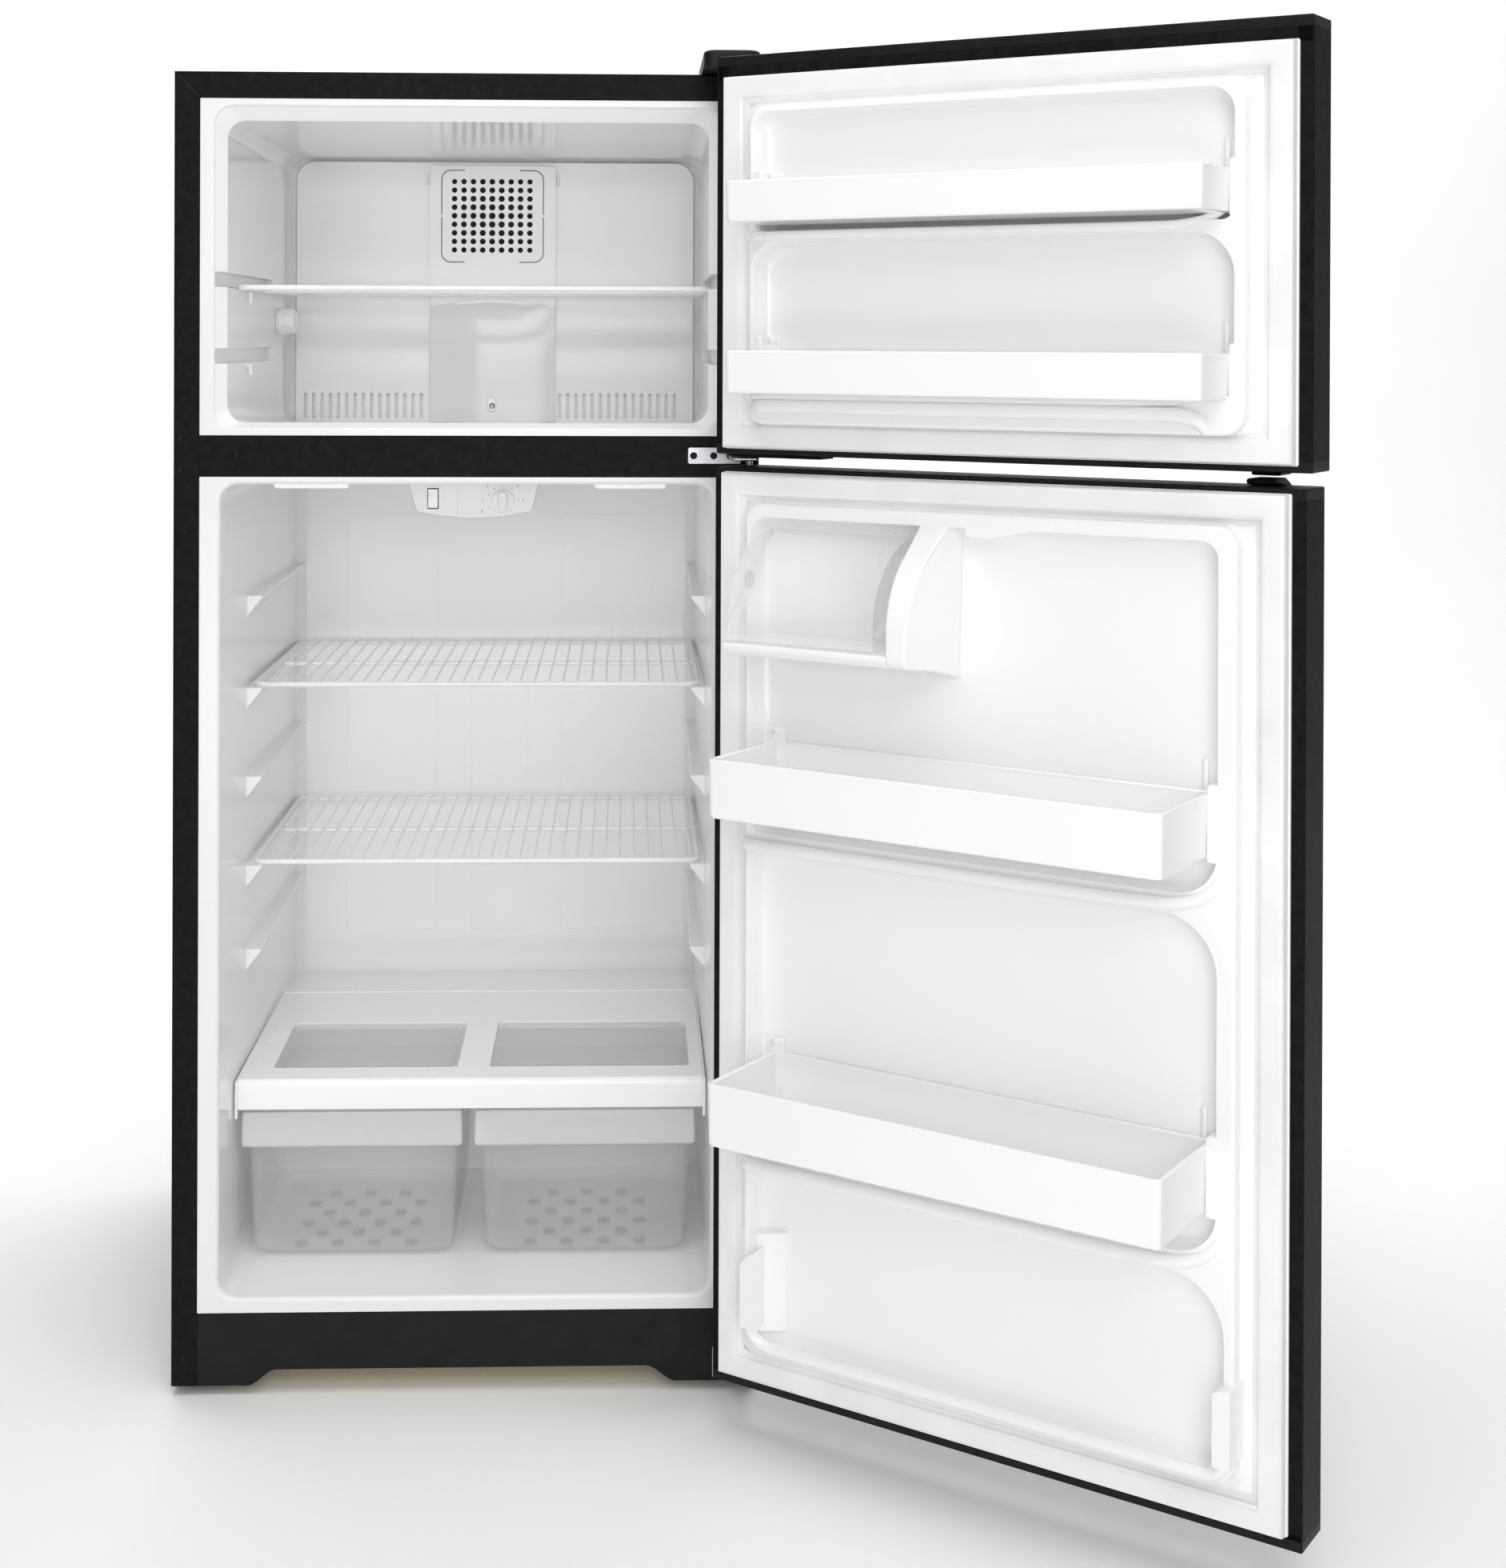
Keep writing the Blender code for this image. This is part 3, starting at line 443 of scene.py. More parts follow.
def wire_coat():
    material, shader = shader_of("white coated wire", (0.88, 0.88, 0.88), 0.28)
    bump(material, shader, noise(material, 300.0, 1.0), 0.0003, 0.25)
    tint(material, shader, noise(material, 25.0), (0.86, 0.86, 0.86), (0.91, 0.91, 0.91))
    return material


def soft_seal():
    material, shader = shader_of("white soft seal", (0.86, 0.86, 0.86), 0.42)
    tint(material, shader, noise(material, 18.0), (0.84, 0.84, 0.845), (0.89, 0.89, 0.89))
    bump(material, shader, noise(material, 500.0, 2.0), 0.0002, 0.3)
    return material


def plated(name, dark, light, roughness, stretch=(1, 1, 12)):
    """Bright metal with fine streaks."""
    material, shader = shader_of(name, light, roughness, Metallic=1.0)
    streaks = noise(material, 120.0, 3.0, stretch)
    tint(material, shader, streaks, dark, light)
    bump(material, shader, streaks, 0.0002, 0.3)
    link(material, spread(material, noise(material, 30.0), roughness - 0.08, roughness + 0.1), shader.inputs["Roughness"])
    return material


def rubber():
    material, shader = shader_of("black rubber", (0.018, 0.018, 0.018), 0.75)
    bump(material, shader, noise(material, 400.0, 3.0), 0.0004, 0.5)
    tint(material, shader, noise(material, 60.0), (0.014, 0.014, 0.014), (0.024, 0.024, 0.024))
    return material


def foam_fill():
    material, shader = shader_of("insulating foam", (0.78, 0.68, 0.38), 0.9)
    cells = noise(material, 260.0, 4.0)
    bump(material, shader, cells, 0.001, 0.6)
    tint(material, shader, cells, (0.68, 0.57, 0.28), (0.84, 0.75, 0.46))
    return material


def fibre():
    material, shader = shader_of("black fibre board", (0.045, 0.045, 0.045), 0.85)
    fibres = noise(material, 160.0, 4.0, (1, 1, 0.2))
    bump(material, shader, fibres, 0.0006, 0.6)
    tint(material, shader, fibres, (0.030, 0.030, 0.030), (0.070, 0.070, 0.072))
    return material


def enamel():
    material, shader = shader_of("black gloss enamel", (0.015, 0.015, 0.015), 0.22)
    bump(material, shader, noise(material, 120.0, 2.0), 0.0004, 0.3)
    tint(material, shader, noise(material, 20.0), (0.012, 0.012, 0.012), (0.022, 0.022, 0.022))
    return material


def frosted_glass():
    material, shader = shader_of("frosted bulb glass", (0.95, 0.95, 0.92), 0.35, Alpha=0.7)
    bump(material, shader, noise(material, 300.0, 2.0), 0.0002, 0.3)
    return material


MATERIALS = {
    "black_steel": black_steel(),
    "black_plastic": black_plastic(),
    "frosted_band": frosted_band(),
    # The lips are the liner's own white plastic, drawn a darker white than the walls as painted shade.
    "lip_white_painted_shade": formed_white("lip white with painted shade", (0.84, 0.84, 0.842), (0.83, 0.83, 0.832), 0.2),
    "white_plastic": formed_white("white formed plastic", (0.925, 0.925, 0.927), (0.915, 0.915, 0.917), 0.13),
    "clear_plastic": clear_plastic(),
    "bulb_glass": frosted_glass(),
    "coated_wire": wire_coat(),
    "white_gasket": soft_seal(),
    "black_rubber": rubber(),
    "zinc_steel": plated("zinc plated steel", (0.40, 0.41, 0.43), (0.58, 0.59, 0.61), 0.36),
    "aluminium": plated("aluminium tube", (0.66, 0.67, 0.69), (0.80, 0.81, 0.83), 0.34),
    "copper": plated("copper tube", (0.62, 0.28, 0.16), (0.78, 0.42, 0.28), 0.32),
    "foam": foam_fill(),
    "fibre_board": fibre(),
    "compressor_enamel": enamel(),
}


# Cabinet


def shell():
    """Sides, top and front flange, bent from one sheet with rounded outer edges."""
    sheet = 0.0015
    edge = 0.004
    back = SHELL_HIGH.y
    bend = [(edge - edge * math.sin(t), FRONT + edge - edge * math.cos(t)) for t in (0, 0.39, 0.79, 1.18, 1.57)]
    section = [(FLANGE, FRONT + sheet), (FLANGE, FRONT), *bend, (0, back)]
    section += [(sheet, back), (sheet, FRONT + sheet)]
    stations = []
    for side, height in ((-1, 0), (-1, 1), (1, 1), (1, 0)):
        stations.append([(side * (SIDE - d), y, (TOP - d * 1.03) * height) for d, y in section])
    piece("cabinet_skin", Form().loft(stations), "cabinet", "black_steel", ["cabinet_shell"])


def screw_head(form, centre, place, toward=-1):
    """A low domed screw head with a round recess, on a plane across Y."""
    profile = [(0.0012, 0.0010), (0.0016, 0.0018), (0.0026, 0.0021), (0.0037, 0.0015), (0.0043, 0.0004), (0.0045, -0.0005)]
    form.turned([(radius, place + toward * height) for radius, height in profile], centre, "y", 20)


def front_trim():
    bar = Form().block((-LINER_SIDE, FRONT, MULLION_LOW.z), (LINER_SIDE, MULLION_HIGH.y, MULLION_HIGH.z))
    piece("mullion_plate", bar, "cabinet", "black_steel", ["mullion_bar"], 0.0006, 2)
    heads = Form()
    for x, z in ((-0.3465, 1.150), (-0.3465, 1.112), (-0.2785, 1.130), (-0.3415, 0.034)):
        screw_head(heads, (x, z), FRONT)
    piece("front_screws", heads, "cabinet", "black_plastic")
    seams = Form()
    for side in (-1, 1):
        outer = side * (SIDE - 0.004)
        inner = side * (SIDE - FLANGE)
        seams.loft([
            [(outer - 0.0004, FRONT - 0.0001, TOP - 0.004), (outer + 0.0004, FRONT - 0.0001, TOP - 0.004)],
            [(inner - 0.0004, FRONT - 0.0001, TOP - 0.0325), (inner + 0.0004, FRONT - 0.0001, TOP - 0.0325)],
        ], False, False, False)
    piece("flange_mitre_seams", seams, "cabinet", "black_rubber")


def toe_skirt():
    """The skirt below the doors, with a foot at each end and a smooth rise between."""
    low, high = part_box("toe_grille")
    lift = 0.019
    steps = 12
    rise = [(-0.2625 + 0.034 * i / steps, lift * soften(i / steps)) for i in range(steps + 1)]
    fall = [(0.2205 + 0.037 * i / steps, lift * soften(1 - i / steps)) for i in range(steps + 1)]
    outline = [(low.x, low.z), *rise, *fall, (high.x, low.z), (high.x, high.z), (low.x, high.z)]
    skirt = Form().prism(outline, "y", low.y, high.y)
    piece("toe_skirt", skirt, "cabinet", "black_plastic", ["toe_grille"], 0.0008, 2)


def cabinet_foam():
    """The foam between the skin and the liners. It's hidden, and stands clear of the liners drawn here."""
    side = SIDE - 0.0018
    low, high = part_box("foam_insulation")
    block = Form().block((-side, low.y, low.z), (side, high.y, high.z))
    machine = Form().block((-0.4, 0.1177, low.z - 0.1), (0.4, 0.5, 0.2865))
    freezer = Form().block((-0.3125, low.y - 0.1, 1.1420), (0.3125, LINER_BACK + 0.0005, 1.5570))
    fridge = Form().block((-0.3055, low.y - 0.1, 0.1010), (0.3055, 0.0800, 1.1000))
    upper = Form().block((-0.3055, 0.0700, 0.3215), (0.3055, LINER_BACK + 0.0005, 1.1000))
    mesh = carved("cabinet_foam", block, [machine, freezer, fridge, upper])
    placed("cabinet_foam", mesh, "cabinet", "foam", ["foam_insulation"])


def cavity_form(stations, corner):
    """A closed solid of a compartment's inside: stations are (y, half width, bottom, top)."""
    rings = []
    for y, half, bottom, top in stations:
        rings.append(along("y", rounded((-half, bottom), (half, top), corner, 8), y))
    return Form().loft(rings)


def lip_form(lip, opening, corner, reach):
    """The flat lip round a compartment's opening and the round edge that leads into it."""
    half, bottom, top = opening
    low, high = (-LINER_SIDE, lip[0]), (LINER_SIDE, lip[1])
    rings = [along("y", rounded(low, high, 0.001, 8), FRONT + 0.0035)]
    rings.append(along("y", rounded(low, high, 0.001, 8), FRONT + 0.0004))
    for i in range(7):
        turn = math.pi / 2 * i / 6
        grow = reach * (1 - math.sin(turn))
        y = FRONT + 0.0004 + reach * (1 - math.cos(turn))
        edge = rounded((-half - grow, bottom - grow), (half + grow, top + grow), corner + grow, 8)
        rings.append(along("y", edge, y))
    return Form().loft(rings, False, False)


def inner_skin(name, form, cutters, added, opening_y):
    """The walls of a compartment: the carved solid without its front cap, facing inwards."""
    mesh = carved(name, form, cutters, added)
    build = bmesh.new()
    build.from_mesh(mesh)
    caps = [face for face in build.faces if all(abs(v.co.y - opening_y) < 1e-5 for v in face.verts)]
    bmesh.ops.delete(build, geom=caps, context="FACES")
    bmesh.ops.reverse_faces(build, faces=build.faces)
    build.to_mesh(mesh)
    build.free()
    return mesh


FREEZER_LIP = (MULLION_HIGH.z + 0.0003, TOP - 0.0328)
FRIDGE_LIP = (0.0883, MULLION_LOW.z - 0.0003)


def freezer_liner():
    """The freezer's inside: a bevelled rim, a shelf channel at two levels and a rounded back."""
    opening = (0.3062, 1.1640, 1.5540)
    reach = 0.0025
    start = FRONT + 0.0004 + reach
    stations = [
        (start, *opening),
        (-0.3380, 0.2942, 1.1690, 1.5384),
        (-0.3360, 0.2934, 1.1693, 1.5376),
        (-0.3340, 0.2940, 1.1692, 1.5382),
        (-0.3310, 0.2990, 1.1690, 1.5400),
        (0.262, 0.2995, 1.1470, 1.5350),
        (0.274, 0.2960, 1.1500, 1.5315),
        (LINER_BACK, 0.2860, 1.1600, 1.5215),
    ]
    channels = []
    for top in (1.3530, 1.2595):
        for side in (-1, 1):
            run = sorted((side * 0.285, side * 0.3095))
            channels.append(Form().block((run[0], start + 0.0005, top - 0.0185), (run[1], 0.055, top)))
    mesh = inner_skin("freezer_walls", cavity_form(stations, 0.022), [], channels, start)
    placed("freezer_walls", mesh, "cabinet", "white_plastic", (), 0.0018)
    lip = lip_form(FREEZER_LIP, opening, 0.022, reach)
    trim = piece("freezer_lip", lip, "cabinet", "white_plastic", ["freezer_liner"])
    # darker white on the lip: painted shade
    trim.data.materials[0] = MATERIALS["lip_white_painted_shade"]
    pegs = Form()
    for z in (1.330, 1.237):
        pegs.tube([(-0.3000, -0.165, z), (-0.294, -0.165, z), (-0.2935, -0.165, z - 0.012)], 0.0028)
    piece("freezer_wall_pegs", pegs, "cabinet", "white_plastic")


def fridge_back_ribs():
    """Three tall outlines embossed in the back wall."""
    ribs = Form()
    border = 0.0032
    rise = LINER_BACK - 0.0018
    for low, high in (((-0.2247, 0.387), (-0.0876, 1.0110)), ((0.0941, 0.387), (0.2311, 1.0110)), ((-0.0398, 0.387), (0.0471, 0.7804))):
        outline = rounded(low, high, 0.006, 4)
        hole = inset(low, high, [0.006] * 4, border, 4)
        ribs.plate(outline, [hole], "y", rise)
        for loop in (outline, hole):
            ribs.loft([along("y", loop, rise), along("y", loop, LINER_BACK)], False, False)
    piece("fridge_back_ribs", ribs, "cabinet", "white_plastic")


def fridge_liner():
    """The refrigerator's inside: shelf supports on both walls and the step over the machine room."""
    opening = (FRIDGE_WALL, 0.1065, 1.0945)
    reach = 0.006
    start = FRONT + 0.0004 + reach
    stations = [
        (start, *opening),
        (0.250, REAR_WALL, 0.1065, 1.0925),
        (0.262, REAR_WALL - 0.0015, 0.108, 1.0910),
        (0.272, REAR_WALL - 0.0055, 0.113, 1.0870),
        (LINER_BACK - 0.002, REAR_WALL - 0.0115, 0.120, 1.0810),
        (LINER_BACK, REAR_WALL - 0.0145, 0.124, 1.0780),
    ]
    front, top, edge = 0.074, 0.328, 0.018
    profile = [(0.4, 0.05), (front, 0.05), *arc((front + edge, top - edge), edge, 180, 90), (0.4, top)]
    supports = [Form().prism(profile, "x", -0.4, 0.4)]
    reach_in, drop = 0.0195, 0.028
    for top in (0.9385, 0.8190, 0.7040, 0.5880, 0.4800):
        for side in (-1, 1):
            wall = side * (FRIDGE_WALL - 0.001)
            outer = side * 0.4
            tip = wall - side * reach_in
            section = [(outer, top), (tip, top), (tip, top - 0.003), (wall, top - drop), (outer, top - drop)]
            slim = [(outer, top), (tip + side * 0.007, top), (tip + side * 0.007, top - 0.003), (wall, top - 0.016), (outer, top - 0.016)]
            supports.append(Form().loft([along("y", section, -0.166), along("y", slim, 0.4)]))
    mesh = inner_skin("fridge_walls", cavity_form(stations, 0.022), supports, [], start)
    placed("fridge_walls", mesh, "cabinet", "white_plastic", (), 0.0025)
    lip = lip_form(FRIDGE_LIP, opening, 0.022, reach)
    trim = piece("fridge_lip", lip, "cabinet", "white_plastic", ["fridge_liner"])
    # darker white on the lip: painted shade
    trim.data.materials[0] = MATERIALS["lip_white_painted_shade"]
    fridge_back_ribs()
    tabs = Form()
    for low, high in ((-0.2352, -0.1436), (0.1543, 0.2428)):
        tabs.prism(rounded((low, 1.0893), (high, 1.0990), 0.0045), "y", FRONT + 0.004, FRONT + 0.030)
    piece("fridge_ceiling_tabs", tabs, "cabinet", "white_plastic", (), 0.0022)


# Freezer interior


AIR_Y = 0.2215
TOWER_Y = 0.2115
TOWER = (-0.0955, 0.0885)
GRILLE_CENTRE = (-0.0045, 1.4525)


def cover_lean(z):
    """How far the air cover's lower half leans towards the front at a height."""
    return 0.007 * settle((1.307 - z) / 0.080)


def air_cover():
    """The rear panel on both sides of the duct, with upright slots low down and a turned-back edge."""
    low, high, edge, corner = 1.1490, 1.5305, 0.2895, 0.026
    body = Form()
    heights = [low, 1.1560, 1.1925, 1.2000, 1.2200, 1.2350, 1.2500, 1.2700, 1.2900, 1.3000, 1.3068, 1.3080, high - corner]
    for side, inner, first in ((-1, TOWER[0], -0.2785), (1, TOWER[1], 0.0920)):
        places = [-edge] if side < 0 else [inner]
        for i in range(15):
            places += [first + i * 0.01205, first + i * 0.01205 + 0.0048]
        places.append(inner if side < 0 else edge)
        sunk = {(i, 1) for i in range(1, len(places) - 2, 2)}
        body.sheet(places, heights, lambda x, z: (x, AIR_Y - cover_lean(z), z), sunk, 0.010)
        curve = arc((side * (edge - corner), high - corner), corner, 90 - 90 * side, 90, 8)
        body.plate([*curve, (inner, high), (inner, high - corner)], [], "y", AIR_Y)
    body.plate([(TOWER[0], 1.500), (TOWER[1], 1.500), (TOWER[1], high), (TOWER[0], high)], [], "y", AIR_Y)
    piece("air_cover", body, "cabinet", "white_plastic", ["evaporator_cover"])
    outline = [(edge, low + (high - corner - low) * i / 24) for i in range(24)]
    outline += arc((edge - corner, high - corner), corner, 0, 90, 8)
    outline += [(-x, z) for x, z in reversed(outline)]
    rim = []
    for out, back in ((0.0, 0.0), (0.0010, 0.0006), (0.0016, 0.0020), (0.0016, 0.0100), (0.0035, 0.0120), (0.0140, 0.0125)):
        ring = []
        for x, z in outline:
            away = Vector((x - math.copysign(edge - corner, x), max(z - (high - corner), 0))).normalized() * out
            ring.append((x + away.x, AIR_Y - cover_lean(z) + back, z + away.y))
        rim.append(ring)
    piece("air_cover_edge", Form().loft(rim, False, False, False), "cabinet", "white_plastic")
    mark = Form().turned([(0.0122, AIR_Y), (0.0118, AIR_Y - 0.0006)], (-0.2540, 1.4559), "y", 40)
    piece("air_cover_mark", mark, "cabinet", "white_plastic")


def tower_face(x, z):
    """The duct's front: flat above, and swelling forward in plan below the shelf."""
    middle = (TOWER[0] + TOWER[1]) / 2
    half = (TOWER[1] - TOWER[0]) / 2
    crown = 1 - ((x - middle) / half) ** 2
    swell = settle((1.3185 + 0.009 * crown - z) / 0.078)
    return (x, TOWER_Y - swell * (0.003 + 0.0095 * crown), z)


def stroke(path, width):
    """The closed outline of a line with this width along a path in a plane."""
    left, right = [], []
    for i, (x, z) in enumerate(path):
        before, after = path[max(i - 1, 0)], path[min(i + 1, len(path) - 1)]
        run = Vector((after[0] - before[0], after[1] - before[1])).normalized() * width / 2
        left.append((x - run.y, z + run.x))
        right.append((x + run.y, z - run.x))
    return left + right[::-1]


def grille_slots():
    """The thin gap round the grille: four lines with a round corner each."""
    cx, cz = GRILLE_CENTRE
    slots = []
    for side, up, start in ((1, 1, 0), (-1, 1, 90), (-1, -1, 180), (1, -1, 270)):
        x = 0.0702 if side > 0 else -0.0782
        z = 1.5190 if up > 0 else 1.3848
        curve = arc((x - side * 0.0135, z - up * 0.0135), 0.0135, start, start + 90)
        ends = [(x, cz + up * 0.002), (cx + side * 0.040, z)]
        if side * up < 0:
            ends.reverse()
        slots.append(stroke([ends[0], *curve, ends[1]], 0.0013))
    return slots


def air_duct():
    """The raised middle of the rear panel: a drum below and the fan grille above, with nine rows of holes."""
    low, split, high = 1.1500, 1.3450, 1.5255
    across = [TOWER[0] + (TOWER[1] - TOWER[0]) * i / 24 for i in range(25)]
    up = [low + (split - low) * j / 44 for j in range(45)]
    drum = Form().sheet(across, up, tower_face)
    for side in TOWER:
        front_edge = [tower_face(side, z) for z in up]
        drum.loft([front_edge, [(x, AIR_Y + 0.004, z) for x, y, z in front_edge]], False, False, False)
    piece("air_duct_drum", drum, "cabinet", "white_plastic", (), 0.0012)
    cx, cz = GRILLE_CENTRE
    holes = grille_slots()
    for row in range(-4, 5):
        for column in range(-4, 5):
            radius = 0.0049 - 0.00018 * math.hypot(row, column)
            holes.append(circle((cx + 0.01375 * column, cz + 0.0125 * row), radius, 16))
    outline = rounded((TOWER[0], split), (TOWER[1], high), [0.009, 0.009, 0.0001, 0.0001])
    face = Form().plate(outline, holes, "y", TOWER_Y)
    face.loft([along("y", outline, TOWER_Y), along("y", outline, AIR_Y + 0.004)], False, False)
    for hole in holes:
        face.loft([along("y", hole, TOWER_Y), along("y", hole, TOWER_Y + 0.0030)], False, False)
    piece("air_duct_grille", face, "cabinet", "white_plastic")
    dark = Form().prism(rounded((-0.082, 1.381), (0.075, 1.5215), 0.012), "y", TOWER_Y + 0.0031, TOWER_Y + 0.0045)
    piece("fan_shroud", dark, "cabinet", "black_plastic")
    clips = Form()
    for x in (TOWER[0] - 0.0025, TOWER[1] + 0.0025):
        clips.block((x - 0.0020, TOWER_Y + 0.002, 1.4985), (x + 0.0020, AIR_Y, 1.5115))
    piece("air_duct_clips", clips, "cabinet", "white_gasket", (), 0.0006, 2)
    well = Form().prism(rounded((-0.0105, 1.1660), (0.0025, 1.1870), 0.0063), "y", 0.1982, 0.2035)
    piece("duct_screw_well", well, "cabinet", "zinc_steel", (), 0.0006)
    head = Form()
    screw_head(head, (-0.0030, 1.1750), 0.1985)
    piece("duct_screw", head, "cabinet", "zinc_steel")


def dial_left():
    low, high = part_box("freezer_dial")
    centre = ((low.y + high.y) / 2, (low.z + high.z) / 2)
    radius = (high.z - low.z) / 2 * 1.04
    profile = [(radius * 0.9, low.x - 0.0045), (radius * 0.9, low.x - 0.001), (radius, low.x), (radius, low.x + 0.005), (radius * 0.96, low.x + 0.0065)]
    profile += [(radius * 0.90, low.x + 0.007), (radius * 0.86, high.x - 0.004), (radius * 0.80, high.x - 0.001), (radius * 0.70, high.x)]
    dial = Form().turned(profile, centre, "x", 48)
    for i in range(18):
        turn = 2 * math.pi * i / 18
        at = (centre[0] + radius * 0.87 * math.cos(turn), centre[1] + radius * 0.87 * math.sin(turn))
        dial.turned([(0.0009, low.x + 0.007), (0.0009, high.x - 0.004)], at, "x", 8)
    piece("freezer_air_dial", dial, "freezer_dial", "white_plastic", ["freezer_dial"])


# Shelves


def wire_shelf(name, body, node_name, front_z, half, front_y, rear_y, rail, wires):
    """A welded wire shelf: a bent frame, two bars below the wires and thin wires from front to back."""
    shelf = Form()
    thin = 0.0012
    path = [(-half, rear_y, front_z), (-half, front_y, front_z), (half, front_y, front_z), (half, rear_y, front_z)]
    shelf.tube(fillet(path, 0.016), rail, 12)
    level = front_z + rail - thin * 0.4
    for y in (front_y + 0.48 * (rear_y - front_y), rear_y):
        shelf.tube([(-half, y, level - thin - 0.0026), (half, y, level - thin - 0.0026)], 0.0030, 12)
    for i in range(wires):
        x = -half + 0.009 + (2 * half - 0.018) * i / (wires - 1)
        shelf.tube([(x, front_y - 0.0008, level - 0.0004), (x, front_y + 0.006, level), (x, rear_y + 0.002, level)], thin, 8)
    piece(name, shelf, body, "coated_wire", [node_name])


def shelves():
    wire_shelf("freezer_wire_shelf", "freezer_shelf", "freezer_shelf", 1.3362, 0.2965, -0.243, 0.160, 0.0036, 32)
    for word, z in (("upper", 0.8215), ("lower", 0.5905)):
        node_name = "fridge_shelf_" + word
        wire_shelf(f"fridge_wire_shelf_{word}", node_name, node_name, z, 0.2885, -0.153, 0.262, 0.0036, 31)


# Crispers


def crisper_cover():
    """The frame over the crispers, with a deep front rail, vent slits and a pane over each drawer."""
    low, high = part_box("crisper_cover_frame")
    panes = [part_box(f"crisper_cover_panel_{word}") for word in ("left", "right")]
    top = high.z
    side = high.x
    holes = [rounded((a.x, a.y), (b.x, b.y), 0.004, 3) for a, b in panes]
    holes += [rounded((-0.2800, -0.190 + 0.030 * i), (-0.2680, -0.1855 + 0.030 * i), 0.002, 3) for i in range(6)]
    outline = rounded((-side, low.y + 0.006), (side, high.y), 0.003, 3)
    cover = Form()
    for z in (top, top - 0.010):
        cover.plate(outline, holes, "z", z)
    for loop in (outline, *holes):
        cover.loft([along("z", loop, top), along("z", loop, top - 0.010)], False, False)
    cover.tube([(-side, high.y - 0.001, top), (side, high.y - 0.001, top)], 0.0018, 10)
    piece("crisper_cover_top", cover, "cabinet", "white_plastic", ["crisper_cover_frame"], 0.0008, 2)
    face = low.y
    rail = [(face + 0.008, top), (face + 0.0045, top - 0.0008), (face + 0.0015, top - 0.004), (face, top - 0.008)]
    rail += [(face, 0.3015), (face + 0.003, 0.3010), (face + 0.003, top - 0.008), (face + 0.008, top - 0.006)]
    piece("crisper_cover_rail", Form().prism(rail, "x", -side, side), "cabinet", "white_plastic", (), 0.0008, 2)
    ends = Form()
    for sign in (-1, 1):
        x0, x1 = sorted((sign * side, sign * (side + 0.0035)))
        section = [(face + 0.001, top - 0.002), (face - 0.001, 0.318), (face - 0.0012, 0.290), (face + 0.008, 0.290)]
        section += [(face + 0.012, 0.318), (high.y, 0.322), (high.y, top - 0.002)]
        ends.prism(section, "x", x0, x1)
    piece("crisper_cover_ends", ends, "cabinet", "white_plastic", (), 0.0010, 2)
    for word, (a, b) in zip(("left", "right"), panes):
        pane = Form().block((a.x, a.y, top - 0.0055), (b.x, b.y, top - 0.0025))
        rim = 0.007
        outer = rounded((a.x + rim, a.y + rim), (b.x - rim, b.y - rim), 0.006, 4)
        hole = rounded((a.x + rim + 0.002, a.y + rim + 0.002), (b.x - rim - 0.002, b.y - rim - 0.002), 0.005, 4)
        for z in (top - 0.0008, top - 0.0025):
            pane.plate(outer, [hole], "z", z)
        for loop in (outer, hole):
            pane.loft([along("z", loop, top - 0.0008), along("z", loop, top - 0.0025)], False, False)
        piece(f"crisper_pane_{word}", pane, "cabinet", "clear_plastic", [f"crisper_cover_panel_{word}"])


def vessel(form, plan, profile):
    """A thin-walled tray: plan(inset) is its outline, and the profile lists (inset, height) from its
    underside up the outside, over the rim and down the inside."""
    return form.loft([along("z", plan(by), z) for by, z in profile])


def crisper(word):
    """A clear drawer that widens upwards, with a pull band across its front and bumps on its floor."""
    name = f"crisper_drawer_{word}"
    low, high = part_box(name)
    left, right = (-0.2895, -0.0110) if word == "left" else (0.0035, 0.2830)
    x0, x1 = left + 0.0045, right - 0.0045
    y0, y1 = low.y + 0.008, high.y
    bottom, top = low.z, high.z
    soft = 0.018

    def plan(by):
        return rounded((x0 + by, y0 + by), (x1 - by, y1 - by), max(0.020 - by * 0.3, 0.004), 6)

    def wall_inset(z):
        return 0.0075 * (1 - (z - bottom) / (top - bottom))

    profile = []
    for i in range(6):
        turn = math.pi / 2 * i / 5
        z = bottom + soft * (1 - math.cos(turn))
        profile.append((wall_inset(z) + soft * (1 - math.sin(turn)), z))
    profile += [(wall_inset(top - 0.03), top - 0.03), (0.0, top - 0.004), (-0.002, top), (0.0015, top), (0.0025, top - 0.004)]
    wall = 0.0025
    for i in range(6):
        turn = math.pi / 2 * (5 - i) / 5
        z = bottom + wall + (soft - wall) * (1 - math.cos(turn))
        profile.append((wall_inset(z) + wall + (soft - wall) * (1 - math.sin(turn)), z))
    tray = vessel(Form(), plan, profile)
    dome = [(0.0085, 0.0), (0.0078, 0.0012), (0.0055, 0.0026), (0.0028, 0.0034), (0.0006, 0.0036)]
    for row in range(6):
        count = 4 if row % 2 == 0 else 3
        for i in range(count):
            spot = ((x0 + x1) / 2 + 0.047 * (i - (count - 1) / 2), y0 + 0.045 + 0.034 * row)
            tray.turned([(radius, bottom + wall + height) for radius, height in dome], spot, "z", 20)
    rings = []
    for by, z in ((0.0030, top - 0.0340), (0.0008, top - 0.0325), (0.0, top - 0.029), (0.0004, top), (0.0016, top + 0.0105)):
        rings.append(along("z", rounded((left + by, low.y + by), (right - by, low.y + 0.011), 0.0045, 4), z))
    band = piece(f"crisper_band_{word}", Form().loft(rings), name, "clear_plastic", [name], 0.0006, 2)
    band.data.materials[0] = MATERIALS["frosted_band"]
    piece(f"crisper_{word}", tray, name, "clear_plastic", [name])


# Controls


